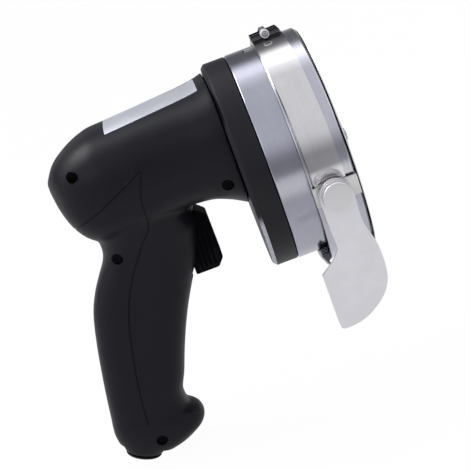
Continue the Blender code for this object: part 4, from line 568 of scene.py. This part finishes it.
def slope_at(rows, column, index):
    """Smooth slope of a column at a row, level at peaks and dips."""
    if index in (0, len(rows) - 1):
        return steepness(rows, column, max(index, 1))
    left = steepness(rows, column, index)
    right = steepness(rows, column, index + 1)
    return 0.0 if left * right <= 0.0 else 2.0 * left * right / (left + right)


def read(table, place):
    """Smooth values of a station table at one place."""
    rows = sorted(table)
    place = min(max(place, rows[0][0]), rows[-1][0])
    upper = next(index for index in range(1, len(rows)) if place <= rows[index][0])
    lower = upper - 1
    span = rows[upper][0] - rows[lower][0]
    share = (place - rows[lower][0]) / span
    values = []
    for column in range(1, len(rows[0])):
        first, second = rows[lower][column], rows[upper][column]
        values.append((2 * share ** 3 - 3 * share ** 2 + 1) * first
                      + (share ** 3 - 2 * share ** 2 + share) * span * slope_at(rows, column, lower)
                      + (-2 * share ** 3 + 3 * share ** 2) * second
                      + (share ** 3 - share ** 2) * span * slope_at(rows, column, upper))
    return values


def soft_box(half_width, half_height, power, count):
    """Points of a superellipse."""
    points = []
    for index in range(count):
        angle = TURN * index / count
        across, up = math.cos(angle), math.sin(angle)
        points.append((half_width * math.copysign(abs(across) ** (2.0 / power), across),
                       half_height * math.copysign(abs(up) ** (2.0 / power), up)))
    return points


def barrel_ring(x, inset, count=96):
    """One upright ring of the barrel."""
    crown, under, half_width = read(BARREL_STATIONS, x)
    section = soft_box(half_width - inset, 0.5 * (crown - under) - inset, BARREL_POWER, count)
    return [(x, y, 0.5 * (crown + under) + z) for y, z in section]


def grip_ring(z, inset, count=96):
    """One level ring of the grip."""
    front, back, half_width = read(GRIP_STATIONS, z)
    section = soft_box(0.5 * (front - back) - inset, half_width - inset, GRIP_POWER, count)
    return [(0.5 * (front + back) + x, y, z) for x, y in section]


def spread(first, last, count):
    """Evenly spaced values."""
    return [first + (last - first) * index / count for index in range(count + 1)]


def shell_body():
    """Barrel and grip blended into one moulding, with a tight front edge."""
    bm = bmesh.new()
    fronts = [-12.8, -13.6] + spread(-14.6, -101.0, 58) + [-102.0, -102.7, -103.3]
    skin(bm, [barrel_ring(x, 0.0) for x in fronts])
    heights = spread(4.0, -122.0, 84) + [-123.2, -124.4, -125.6, -126.4]
    skin(bm, [grip_ring(z, 0.0) for z in heights])
    body = object_from("near_shell", bm)
    remesh = body.modifiers.new("one_skin", "REMESH")
    remesh.mode = "VOXEL"
    remesh.voxel_size = SKIN_VOXEL * MM
    applied(body)
    joint = body.vertex_groups.new(name="joint")
    for vert in body.data.vertices:
        place = (vert.co - HEAD_DATUM) / MM
        near = max(0.0, 1.0 - abs(place.z - JOINT_Z) / JOINT_REACH)
        near *= min(1.0, max(0.12, (-place.x - 40.0) / 8.0))
        if near > 0.0:
            joint.add([vert.index], near, "REPLACE")
    soften = body.modifiers.new("soften_joint", "SMOOTH")
    soften.vertex_group = "joint"
    soften.factor = 0.5
    soften.iterations = JOINT_ROUNDS
    settle = body.modifiers.new("settle", "SMOOTH")
    settle.factor = 0.5
    settle.iterations = 5
    applied(body)
    return body


def hollow():
    """Cutters for the inside of the housing."""
    barrel = bmesh.new()
    skin(barrel, [barrel_ring(x, SHELL_WALL, 48) for x in [-12.0] + spread(-14.0, -97.0, 24)])
    grip = bmesh.new()
    skin(grip, [grip_ring(z, SHELL_WALL, 48) for z in spread(-2.0, -111.5, 30)])
    return object_from("barrel_hollow", barrel), object_from("grip_hollow", grip)


def on_side(body, x, z):
    """Place on the housing's near side; beyond its outline, on the middle plane."""
    start = HEAD_DATUM + Vector((x, -90.0, z)) * MM
    found, place, *_ = body.ray_cast(start, Vector((0.0, 1.0, 0.0)))
    return place if found else HEAD_DATUM + Vector((x, 0.0, z)) * MM


def tube_along(name, places, radius):
    """A closed round tube through places, for a groove's cutter or a coil."""
    curve = bpy.data.curves.new(name, "CURVE")
    curve.dimensions = "3D"
    spline = curve.splines.new("POLY")
    spline.points.add(len(places) - 1)
    for point, place in zip(spline.points, places):
        point.co = (*place, 1.0)
    curve.bevel_depth = radius * MM
    curve.bevel_resolution = 2
    curve.use_fill_caps = True
    drawn = placed(name, curve)
    bpy.context.view_layer.update()
    graph = bpy.context.evaluated_depsgraph_get()
    mesh = bpy.data.meshes.new_from_object(drawn.evaluated_get(graph))
    bpy.data.objects.remove(drawn)
    return placed(name, mesh)


# Edges of the grip's side panel: upper edge, then front edge down to the hand
PANEL_UPPER = ((-100.4, -1.0), (-95.6, 4.4), (-91.0, 6.0), (-84.2, 8.8), (-77.5, 12.0),
               (-70.8, 15.3), (-63.0, 18.8), (-57.5, 22.0), (-56.5, 22.0))
PANEL_FRONT = ((-56.5, 22.0), (-57.6, 18.8), (-59.7, 14.0), (-61.2, 9.0), (-62.0, 2.0),
               (-62.5, -5.5), (-64.4, -9.4), (-67.9, -12.8), (-73.2, -20.0), (-78.6, -27.6),
               (-84.5, -37.5), (-89.5, -49.0), (-93.5, -64.0), (-97.0, -80.0), (-99.5, -96.0),
               (-100.4, -106.0))


def softened(points, rounds):
    """Corner-cut a chain of points so that it runs smoothly."""
    for _ in range(rounds):
        longer = [points[0]]
        for first, second in zip(points, points[1:]):
            longer.append(tuple(0.75 * a + 0.25 * b for a, b in zip(first, second)))
            longer.append(tuple(0.25 * a + 0.75 * b for a, b in zip(first, second)))
        longer.append(points[-1])
        points = longer
    return points


def shell_cutters(body):
    """Openings and grooves of the housing, one object each."""
    pocket = bmesh.new()
    outline = eased([(-31.0, -10.4), (-57.2, -10.4), (-57.2, -44.4), (-31.0, -44.4)], 1.0)
    slab(pocket, outline, [], -8.4, 8.4)
    yield object_from("trigger_pocket", pocket)
    foot = bmesh.new()
    slab(foot, [(-60.0, -30.0), (60.0, -30.0), (60.0, GLAND_SEAT), (-60.0, GLAND_SEAT)], [],
         -30.0, 30.0)
    tilted_with_gland(foot)
    yield object_from("foot_cut", foot)
    hole = bmesh.new()
    lathe(hole, [(0.0, 0.01), (0.0, 7.6), (22.0, 7.6), (22.0, 0.01)], 64, axis="Z")
    tilted_with_gland(hole)
    yield object_from("gland_hole", hole)
    for x, z in SCREW_PLACES:
        side = (on_side(body, x, z).y - HEAD_DATUM.y) / MM
        bore = bmesh.new()
        lathe(bore, [(side - 6.0, 0.01), (side - 6.0, 3.5), (side, 3.1), (side + 0.6, 2.75),
                     (side + 5.0, 2.75), (side + 5.0, 0.01)], 48, centre=(x, 0.0, z), axis="Y")
        yield object_from("screw_well", bore)
    for name, edge in (("panel_upper", PANEL_UPPER), ("panel_front", PANEL_FRONT)):
        yield tube_along(name, [on_side(body, x, z) for x, z in softened(edge, 4)], 0.50)


def half_shell(body, name, side):
    """Keep one side of the housing and close it on the parting plane."""
    bm = bmesh.new()
    bm.from_mesh(body.data)
    plane = HEAD_DATUM + Vector((0.0, side * PARTING * MM, 0.0))
    cut = bmesh.ops.bisect_plane(bm, geom=[*bm.verts, *bm.edges, *bm.faces], plane_co=plane,
                                 plane_no=(0.0, -side, 0.0), clear_outer=True)
    rim = [item for item in cut["geom_cut"] if isinstance(item, bmesh.types.BMEdge)]
    bmesh.ops.triangle_fill(bm, edges=rim, use_beauty=True)
    return meshed(name, bm)


def housing():
    """Both half shells, from one blended moulding."""
    body = shell_body()
    for tool in (*hollow(), *shell_cutters(body)):
        carve(body, tool)
    near = half_shell(body, "near_half_shell", -1)
    far = half_shell(body, "far_half_shell", 1)
    bpy.data.objects.remove(body)
    fit(near, "housing", black_shell, "black_plastic", "housing_near", angle=40.0)
    fit(far, "housing", black_shell, "black_plastic", "housing_far", angle=40.0)


def crown_of(x, y):
    """Height of the barrel's upper skin."""
    crown, under, half_width = read(BARREL_STATIONS, x)
    rise = (1.0 - min(abs(y) / half_width, 1.0) ** BARREL_POWER) ** (1.0 / BARREL_POWER)
    return 0.5 * (crown + under) + 0.5 * (crown - under) * rise


def bare_label():
    """Bare metal foil label that lies on the crown, with rounded corners."""
    bm = bmesh.new()
    low, high = (-67.0, -20.5), (-18.0, 10.0)
    columns, rows, corner = 60, 40, 0.5
    grid = []
    for x in spread(low[0], high[0], columns):
        line = []
        for y in spread(low[1], high[1], rows):
            near_x = max(low[0] + corner - x, x - high[0] + corner, 0.0)
            near_y = max(low[1] + corner - y, y - high[1] + corner, 0.0)
            reach = math.hypot(near_x, near_y)
            pull = corner / reach if near_x > 0.0 and near_y > 0.0 and reach > corner else 1.0
            px = x + (near_x * (1.0 - pull)) * (1.0 if x < 0.5 * (low[0] + high[0]) else -1.0)
            py = y + (near_y * (1.0 - pull)) * (1.0 if y < 0.5 * (low[1] + high[1]) else -1.0)
            line.append(bm.verts.new((px, py, crown_of(px, py) + 0.30)))
        grid.append(line)
    for first, second in zip(grid, grid[1:]):
        for index in range(rows):
            bm.faces.new((first[index], first[index + 1], second[index + 1], second[index]))
    label = object_from("bare_label", bm)
    if sum(face.normal.z for face in label.data.polygons) < 0.0:
        label.data.flip_normals()
    thick = label.modifiers.new("foil", "SOLIDIFY")
    thick.thickness = 0.45 * MM
    thick.offset = -1.0
    applied(label)
    fit(label, "housing", label_foil, "satin_steel", "rating_plate", edge=0.06)


# Head
def collar():
    """Black collar with chamfered rear edge and hollow front."""
    bm = bmesh.new()
    profile = [(-12.5, 30.0), (-12.5, COLLAR_RADIUS - 1.8), (-10.7, COLLAR_RADIUS),
               (0.0, COLLAR_RADIUS), (0.0, 49.8), (-6.5, 49.8), (-6.5, 30.0)]
    lathe(bm, eased(profile, 0.35), 176)
    lathe(bm, [(-12.5, 0.02), (-12.5, 29.95), (-6.5, 29.95), (-6.5, 0.02)], 96)
    fit(object_from("gear_collar", bm), "housing", collar_coat_and_painted_highlight, "collar_black", "front_collar")


def head_casting():
    """Turned aluminium head with a window behind the lower guard."""
    bm = bmesh.new()
    profile = [(-4.0, 46.0), (-4.0, 49.5), (0.3, 49.5), (0.3, HEAD_RADIUS - 0.6),
               (0.9, HEAD_RADIUS), (27.5, HEAD_RADIUS),
               (27.5, 50.8), (6.0, 50.8), (6.0, 14.5), (1.5, 14.5), (1.5, 46.0)]
    lathe(bm, eased(profile, 0.3), 176)
    head = object_from("head_casting", bm)
    window = bmesh.new()
    span = math.radians(47.0)
    lathe(window, [(16.6, 49.0), (16.6, 56.0), (30.0, 56.0), (30.0, 49.0)], 48, -span, 2.0 * span)
    carve(head, object_from("window", window))
    slot = bmesh.new()
    slab(slot, [(9.6, 51.7), (26.0, 51.7), (26.0, 56.0), (9.6, 56.0)], [], -6.0, -1.0)
    carve(head, object_from("key_slot", slot))
    boss = bmesh.new()
    lathe(boss, eased([(1.6, 6.0), (1.6, 14.4), (36.6, 13.0), (36.6, 11.2), (27.0, 11.2),
                       (27.0, 6.0)], 0.4), 96, centre=(0.0, 0.0, SPINDLE_Z))
    fit(head, "housing", head_aluminium, "satin_aluminium", "head_ring", edge=0.12)
    fit(object_from("bearing_boss", boss), "housing", head_aluminium, "satin_aluminium")


def key():
    """Flat guide key at the top of the sleeve."""
    bm = bmesh.new()
    slab(bm, eased([(10.2, 51.8), (24.1, 51.8), (24.1, 53.8), (10.2, 53.8)], 0.3), [], -5.5, -1.5)
    fit(object_from("key", bm), "housing", clip_steel, "polished_stainless", "guide_key",
        edge=0.15)


# Guard
def guard_band():
    """Stainless guard with a rolled rear bead and its front lip turned in."""
    bm = bmesh.new()
    inner = GUARD_RADIUS - 1.0
    profile = [(15.3, inner), (15.3, 57.7), (15.7, 57.9), (16.2, 57.7), (16.5, GUARD_RADIUS),
               (36.5, GUARD_RADIUS), (37.35, GUARD_RADIUS - 0.8), (37.35, inner - 3.3),
               (36.3, inner - 3.3), (36.3, inner)]
    lathe(bm, eased(profile, 0.25), 192, centre=(0.0, 0.0, GUARD_Z))
    fit(object_from("guard_band", bm), "guard", guard_steel, "polished_stainless", "guard_ring")


def deflector():
    """Flared lip under the head, with the web that joins it to the guard. Both are coloured dark
    grey as painted shade under the head.
    """
    bm = bmesh.new()
    span = math.radians(25.0)
    lathe(bm, eased([(11.3, 54.3), (11.3, 58.0), (13.2, 62.2), (14.2, 62.2), (12.3, 58.0),
                     (12.3, 54.3)], 0.2), 48, -span, 2.0 * span)
    web = span - math.radians(1.5)
    lathe(bm, [(11.6, 57.1), (13.4, 61.4), (16.9, 58.1), (24.0, 58.1), (24.0, 57.1)], 40, -web,
          2.0 * web)
    fit(object_from("slice_lip", bm), "guard", lip_steel_painted_shade, "satin_steel", "slice_deflector",
        edge=0.12)


def from_top(height, radius):
    """Angle round the guard from its top to a height above the datum."""
    return math.acos((height - GUARD_Z) / radius)


def flange_trimmer():
    """Cutter that brings the strap's flange down to its height and slants its front end."""
    bm = bmesh.new()
    slab(bm, [(8.0, FLANGE_TOP - 0.8), (15.0, FLANGE_TOP - 0.4), (29.0, FLANGE_TOP + 0.2),
              (30.0, FLANGE_TOP - 1.2), (30.4, FLANGE_FOOT - 0.3), (40.0, FLANGE_FOOT - 0.3),
              (40.0, 66.0), (8.0, 66.0)], [], -9.0, 9.0)
    return object_from("flange_trimmer", bm)


def strap(name, side, *nodes):
    """Half of the polished strap, which drifts back towards the top and is bent up there."""
    outer = STRAP_RADIUS + STRAP_WALL
    end = from_top(-19.1, outer)
    bend = math.radians(2.6)
    fold = math.radians(5.2)
    bm = bmesh.new()
    angles = spread(bend, end, 60)
    low = [(side * STRAP_RADIUS * math.sin(angle), GUARD_Z + STRAP_RADIUS * math.cos(angle))
           for angle in angles]
    high = [(side * outer * math.sin(angle), GUARD_Z + outer * math.cos(angle))
            for angle in angles if angle > fold]
    foot = side * STRAP_RADIUS * math.sin(bend)
    wall = foot + side * STRAP_WALL
    corner = GUARD_Z + outer * math.cos(fold)
    outline = list(reversed(low)) + [(foot, 60.6), (wall, 60.6), (wall, corner + 2.2)]
    for share in (0.2, 0.4, 0.6, 0.8):
        outline.append(((1 - share) ** 2 * wall + (1 - (1 - share) ** 2) * high[0][0]
                        - 2 * share * (1 - share) * (high[0][0] - wall),
                        corner + 2.2 * (1 - share) ** 2))
    outline += high
    rings = []
    for x, inset in ((17.0, 0.02), (17.12, 0.0), (32.08, 0.0), (32.2, 0.02)):
        ring = []
        for y, z in outline:
            drift = 1.7 * max(0.0, 1.0 - math.atan2(abs(y), z - GUARD_Z) / 1.2)
            ring.append((x - drift, y, z - inset))
        rings.append(ring)
    skin(bm, rings)
    made = object_from(name, bm)
    carve(made, flange_trimmer())
    hole = bmesh.new()
    lathe(hole, [(-9.0, 0.01), (-9.0, 1.45), (9.0, 1.45), (9.0, 0.01)], 32,
          centre=(CLAMP_PLACE[0], 0.0, CLAMP_PLACE[1]), axis="Y")
    carve(made, object_from("bolt_hole", hole))
    fit(made, "guard", strap_steel, "polished_stainless", *nodes, angle=40.0, edge=0.12)


def clip(name, side, *nodes):
    """Clip that hooks over the guard's rear edge and holds the strap's end."""
    outer = CLIP_RADIUS + CLIP_WALL
    first = from_top(-9.9, outer)
    last = from_top(-20.0, outer)
    bm = bmesh.new()
    profile = eased([(15.1, 58.0), (15.1, outer), (37.2, outer), (37.2, 57.5), (36.4, 57.5),
                     (36.4, CLIP_RADIUS), (15.9, CLIP_RADIUS), (15.9, 58.0)], 0.3)
    start = math.pi - side * first
    sweep = side * (first - last)
    lathe(bm, profile, 14, min(start, start + sweep), abs(sweep), (0.0, 0.0, GUARD_Z))
    fit(object_from(name, bm), "guard", clip_steel, "polished_stainless", *nodes, edge=0.15)


def stud_and_rivet():
    """Collared stud under the knob, and the plain rivet on the far side."""
    centre = (KNOB_PLACE[0], 0.0, KNOB_PLACE[1])
    bm = bmesh.new()
    lathe(bm, eased([(-57.6, 0.01), (-57.6, 2.0), (-59.6, 2.0), (-59.6, 5.0), (-61.0, 5.0),
                     (-61.0, 2.0), (-70.5, 2.0), (-70.5, 0.01)], 0.15), 64, centre=centre, axis="Y")
    fit(object_from("knob_stud_turned", bm), "guard", fastener_steel, "plain_steel", "knob_stud")
    bm = bmesh.new()
    lathe(bm, eased([(57.6, 0.01), (57.6, 2.0), (59.6, 2.0), (59.6, 3.6), (60.5, 3.0),
                     (61.1, 1.6), (61.2, 0.01)], 0.3), 64, centre=centre, axis="Y")
    fit(object_from("round_rivet", bm), "guard", fastener_steel, "plain_steel", "far_rivet")


def clamp():
    """Clamp bolt, and the small knurled nut in front of it."""
    x, z = CLAMP_PLACE
    bm = bmesh.new()
    lathe(bm, [(-10.4, 0.01), (-10.4, 1.0), (-10.2, 1.25), (4.0, 1.25), (4.0, 0.01)], 40,
          centre=(x, 0.0, z), axis="Y")
    slab(bm, eased(ring_of(2.4, 6), 0.15), [], 3.82, 6.0, centre=(x, z))
    fit(object_from("clamp_bolt_turned", bm), "guard", fastener_steel, "plain_steel",
        "clamp_bolt", edge=0.1)
    bm = bmesh.new()
    slab(bm, knurled(2.15, 0.16, 18), [ring_of(1.42, 40)], -9.4, -3.82, centre=(x, z))
    fit(object_from("knurled_nut", bm), "clamp_nut", nut_nickel, "plain_steel", "clamp_nut",
        edge=0.06)


# Gauge plate and knob. The plate's edge counts from the knob's middle
GAUGE_EDGE = (
    (7.2, 2.4), (5.4, 4.4), (3.0, 5.4), (0.0, 5.6), (-3.0, 5.4), (-5.6, 4.4), (-7.4, 2.2),
    (-7.9, -0.6), (-7.95, -5.3), (-7.85, -16.9), (-7.35, -24.2), (-7.75, -26.4), (-11.65, -30.7),
    (-18.55, -35.4), (-18.55, -47.7), (-18.65, -62.3), (-17.45, -64.0), (-11.75, -63.9),
    (-7.0, -62.9), (-2.55, -61.1), (2.2, -58.0), (6.45, -54.3), (9.0, -50.2), (10.55, -46.3),
    (11.35, -38.1), (10.95, -29.5), (9.15, -23.5), (7.45, -16.5), (8.0, -9.0), (8.2, -3.5),
)
SQUARE_CORNER = 13


def gauge():
    """Satin steel paddle that hangs from the knob."""
    bm = bmesh.new()
    edge = [*GAUGE_EDGE[SQUARE_CORNER:], *GAUGE_EDGE[:SQUARE_CORNER + 1]]
    slab(bm, softened(edge, 3)[:-1], [ring_of(2.2, 48)], -62.5, -61.3, centre=KNOB_PLACE)
    fit(object_from("gauge_paddle", bm), "gauge_plate", plate_steel, "satin_steel", "gauge_plate",
        edge=0.16)


def knob():
    """Thumb knob: spun face, straight-knurled rim and two plain rings behind it."""
    x, z = KNOB_PLACE
    bm = bmesh.new()
    slab(bm, knurled(7.3, 0.22, 48), [], -73.1, -69.4, centre=(x, z))
    lathe(bm, eased([(-73.6, 0.01), (-73.6, 6.95), (-73.3, 7.2), (-72.6, 7.2), (-72.6, 0.01)],
                    0.2), 128, centre=(x, 0.0, z), axis="Y")
    lathe(bm, eased([(-69.8, 2.4), (-69.8, 6.8), (-68.8, 6.8), (-68.8, 7.3), (-66.6, 7.3),
                     (-66.6, 6.8), (-65.6, 6.8), (-65.6, 7.4), (-63.6, 7.4), (-63.6, 6.9),
                     (-62.85, 6.9), (-62.85, 2.4)], 0.2), 96, centre=(x, 0.0, z), axis="Y")
    fit(object_from("thumb_knob", bm), "gauge_knob", knob_steel, "satin_steel", "gauge_knob",
        edge=0.05)


# Knife
def knife():
    """Round knife with its ground bevel, and the flanged nut that holds it."""
    bm = bmesh.new()
    lathe(bm, eased([(37.9, 3.2), (37.9, 57.4), (38.05, 57.5), (39.1, 50.0), (39.1, 3.2)], 0.05),
          224, centre=(0.0, 0.0, SPINDLE_Z))
    fit(object_from("round_knife", bm), "blade", blade_steel, "polished_stainless", "blade")
    bm = bmesh.new()
    lathe(bm, eased([(39.4, 3.2), (39.4, 12.0), (40.3, 11.6), (40.9, 9.0), (40.9, 3.2)], 0.2), 96,
          centre=(0.0, 0.0, SPINDLE_Z))
    slab(bm, eased(ring_of(9.5, 6), 0.5), [ring_of(3.2, 48)], 40.4, 43.3, axis="X",
         centre=(0.0, SPINDLE_Z))
    fit(object_from("knife_nut", bm), "blade", fastener_steel, "satin_steel", "blade_nut",
        edge=0.25)


# Trigger and gland
def trigger():
    """Trigger with a soft front and upright grip grooves on face and flanks."""
    bm = bmesh.new()
    outline = eased([(-50.2, -11.1), (-40.1, -11.1), (-34.8, -15.8), (-34.7, -39.1),
                     (-38.1, -43.2), (-50.2, -43.2)], 1.0, 4)
    slab(bm, outline, [], -7.8, 7.8)
    blank_trigger = object_from("finger_trigger", bm)
    rows = bmesh.new()
    for y in spread(-5.6, 5.6, 4):
        slab(rows, eased([(-36.0, -19.5), (-33.0, -19.5), (-33.0, -37.0), (-36.0, -37.0)], 0.4),
             [], y - 0.55, y + 0.55)
    carve(blank_trigger, object_from("face_grooves", rows))
    flanks = bmesh.new()
    for x in (-37.6, -40.0, -42.4, -44.8):
        for side in (-1, 1):
            slab(flanks, [(x - 0.55, -17.0), (x + 0.55, -17.0), (x - 0.95, -41.0),
                          (x - 2.05, -41.0)], [], side * 7.1, side * 9.0)
    carve(blank_trigger, object_from("flank_grooves", flanks))
    stem = bmesh.new()
    lathe(stem, [(-62.2, 0.01), (-62.2, 2.1), (-49.8, 2.1), (-49.8, 0.01)], 40,
          centre=(0.0, 0.0, STEM_Z))
    carve(blank_trigger, object_from("stem", stem), "UNION")
    fit(blank_trigger, "trigger", trigger_plastic, "trigger_plastic", "trigger", edge=0.22)


def spring():
    """Coil spring behind the trigger."""
    low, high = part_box("trigger_spring")
    wire = SPRING_WIRE * MM
    middle = 0.5 * (low + high)
    reach = 0.5 * (high.y - low.y) - wire
    places = []
    for share in spread(0.0, 1.0, 120):
        turn = SPRING_TURNS * TURN * share
        places.append(Vector((low.x + wire + (high.x - low.x - 2.0 * wire) * share,
                              middle.y + reach * math.cos(turn),
                              middle.z + reach * math.sin(turn))))
    made = tube_along("coil_spring", places, wire / MM)
    fit(made, "housing", fastener_steel, "plain_steel", "trigger_spring", angle=60.0)
    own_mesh(made)


def gland():
    """Rubber gland on the grip's slanted foot, with a slot over its lip."""
    bm = bmesh.new()
    profile = [(0.0, 3.6), (0.0, 8.6), (0.5, 9.2), (1.3, 9.3), (1.5, 8.3), (2.1, 8.3), (2.3, 9.9),
               (4.0, 10.9), (GLAND_SEAT - 0.08, 11.9), (GLAND_SEAT - 0.08, 7.4), (12.0, 7.4),
               (12.0, 3.6)]
    lathe(bm, eased(profile, 0.25), 96, axis="Z")
    tilted_with_gland(bm)
    fit(object_from("rubber_gland", bm), "housing", gland_rubber, "rubber", "cord_gland")


# Nodes that keep their own shape
KEPT = {
    screw_steel_painted_shade: ("housing_screw_1", "housing_screw_2", "housing_screw_3", "housing_screw_4"),
    fastener_steel: ("head_screw_1", "head_screw_2", "head_screw_3", "head_screw_4",
                     "motor_rear_bearing", "motor_front_bearing", "spindle_rear_bearing",
                     "spindle_front_bearing", "blade_spindle", "drive_gear", "motor_shaft",
                     "pinion"),
    lamination_steel: ("motor_can", "armature"),
    winding_copper: ("rear_winding", "front_winding", "commutator"),
    contact_brass: ("terminal_near", "terminal_far"),
    switch_plastic: ("switch_body", "brush_holder", "cooling_fan"),
    carbon_block: ("brush_near", "brush_far"),
    seal_rubber: ("shaft_seal",),
}


def dress_kept_nodes():
    """Give every node that stays visible its material."""
    for material, names in KEPT.items():
        for name in names:
            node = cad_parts[name]
            node.data.materials.clear()
            node.data.materials.append(material)


# Studio
EYE = Vector((-25.35, -713.4, 158.2))
LOOK = Vector((0.0, math.cos(math.radians(15.0)), -math.sin(math.radians(15.0))))
ROLL = math.atan2(0.352, 0.936)
FOCAL_SHARE = 1460.0 / 470.0
SENSOR = 36.0
# Light round the X axis: 0.5 is the front horizon, 0.75 the zenith and 1.0 the back horizon
STRIPS = (
    (0.0, 0.30), (0.497, 0.16), (0.512, 0.19), (0.53, 0.29), (0.545, 0.37), (0.56, 0.41),
    (0.606, 0.43), (0.747, 0.44), (0.781, 0.64), (0.80, 0.97), (0.828, 1.0), (0.842, 0.70),
    (0.862, 0.22), (0.878, 0.09), (0.955, 0.09), (0.975, 0.19), (1.0, 0.27),
)
STRIPS_STRENGTH = 1.9
# The floor as metal mirrors it: from and to in metres along Y, and its greys between them
MIRRORED_SPAN = (-0.62, 0.18)
MIRRORED_GREYS = (
    (0.05, (0.30, 0.30, 0.33)), (0.25, 0.95), (0.45, 1.0), (0.50, 0.95),
    (0.56, (0.60, 0.60, 0.63)), (0.62, (0.64, 0.64, 0.67)), (0.72, (0.74, 0.74, 0.77)),
)


def camera():
    """Camera at the photograph's place, tipped with the photograph's roll."""
    data = bpy.data.cameras.new("camera")
    data.sensor_width = SENSOR
    data.lens = SENSOR * FOCAL_SHARE
    data.clip_start = 0.01
    data.clip_end = 50.0
    made = placed("camera", data)
    level = Vector((1.0, 0.0, 0.0))
    upright = level.cross(LOOK)
    right = math.cos(ROLL) * level - math.sin(ROLL) * upright
    up = math.sin(ROLL) * level + math.cos(ROLL) * upright
    turn = Matrix((right, up, -LOOK)).transposed().to_4x4()
    made.matrix_world = Matrix.Translation(HEAD_DATUM + EYE * MM) @ turn
    bpy.context.scene.camera = made


def studio_world():
    """Long soft strips round the X axis that light the tool and mirror in its metal."""
    world = bpy.data.worlds.new("studio")
    bpy.context.scene.world = world
    world.use_nodes = True
    tree = world.node_tree
    tree.nodes.clear()
    link = tree.links.new
    direction = add(tree, "ShaderNodeTexCoord").outputs["Generated"]
    parts = add(tree, "ShaderNodeSeparateXYZ")
    link(direction, parts.inputs[0])
    front = maths(tree, "MULTIPLY", parts.outputs["Y"], -1.0)
    angle = maths(tree, "ARCTAN2", parts.outputs["Z"], front)
    share = maths(tree, "ADD", maths(tree, "DIVIDE", angle, TURN), 0.5)
    tint = join(tree, "MULTIPLY", ramp(tree, share, *STRIPS), (0.97, 0.98, 1.04, 1.0))
    light = add(tree, "ShaderNodeBackground", Strength=STRIPS_STRENGTH)
    link(tint, light.inputs["Color"])
    link(light.outputs[0], add(tree, "ShaderNodeOutputWorld").inputs["Surface"])


def floor():
    """Floor with a soft shadow: white to the camera, grey bands to metal that mirrors it."""
    bpy.ops.mesh.primitive_circle_add(vertices=128, radius=14.0, fill_type="NGON",
                                      location=(0.0, 0.0, cad_box[0].z - 0.0005))
    made = bpy.context.object
    made.name = "studio_floor"
    material, tree, shader = blank("white_floor", 0.0, Roughness=0.9, Specular_IOR_Level=0.1)
    shader.inputs["Base Color"].default_value = (0.88, 0.88, 0.89, 1.0)
    glow = add(tree, "ShaderNodeEmission", Strength=1.0)
    path = add(tree, "ShaderNodeLightPath")
    parts = add(tree, "ShaderNodeSeparateXYZ")
    tree.links.new(add(tree, "ShaderNodeNewGeometry").outputs["Position"], parts.inputs[0])
    depth = add(tree, "ShaderNodeMapRange", From_Min=MIRRORED_SPAN[0],
                From_Max=MIRRORED_SPAN[1])
    tree.links.new(parts.outputs["Y"], depth.inputs["Value"])
    mirrored = ramp(tree, depth.outputs["Result"], *MIRRORED_GREYS)
    tree.links.new(join(tree, "MIX", (1.0, 1.0, 1.0, 1.0), mirrored, path.outputs["Is Glossy Ray"]),
                   glow.inputs["Color"])
    seen = maths(tree, "MAXIMUM", path.outputs["Is Camera Ray"], path.outputs["Is Glossy Ray"])
    seen = maths(tree, "MAXIMUM", seen, path.outputs["Is Transmission Ray"])
    mixed = add(tree, "ShaderNodeMixShader")
    tree.links.new(maths(tree, "MULTIPLY", seen, 0.97), mixed.inputs["Fac"])
    tree.links.new(shader.outputs[0], mixed.inputs[1])
    tree.links.new(glow.outputs[0], mixed.inputs[2])
    tree.links.new(mixed.outputs[0], tree.nodes["Material Output"].inputs["Surface"])
    made.data.materials.append(material)


def softbox(name, place, size, power):
    """A large soft lamp aimed at the tool."""
    data = bpy.data.lights.new(name, "AREA")
    data.shape = "RECTANGLE"
    data.size, data.size_y = size
    data.energy = power
    made = placed(name, data)
    made.location = place
    made.rotation_euler = (-Vector(place)).to_track_quat("-Z", "Y").to_euler()


def studio():
    """Camera, world, floor and lamps."""
    camera()
    studio_world()
    floor()
    softbox("overhead", (-0.48, 0.26, 0.76), (0.6, 0.3), 3.4)
    softbox("front_left", (-0.7, -0.7, 0.45), (0.5, 0.5), 0.9)
    view = bpy.context.scene.view_settings
    view.view_transform = "Standard"


studio()
housing()
bare_label()
collar()
head_casting()
key()
guard_band()
deflector()
strap("strap_near_half", -1, "strap_near")
strap("strap_far_half", 1, "strap_far")
clip("near_clip", -1, "clip_near")
clip("far_clip", 1, "clip_far")
stud_and_rivet()
clamp()
gauge()
knob()
knife()
trigger()
spring()
gland()
dress_kept_nodes()
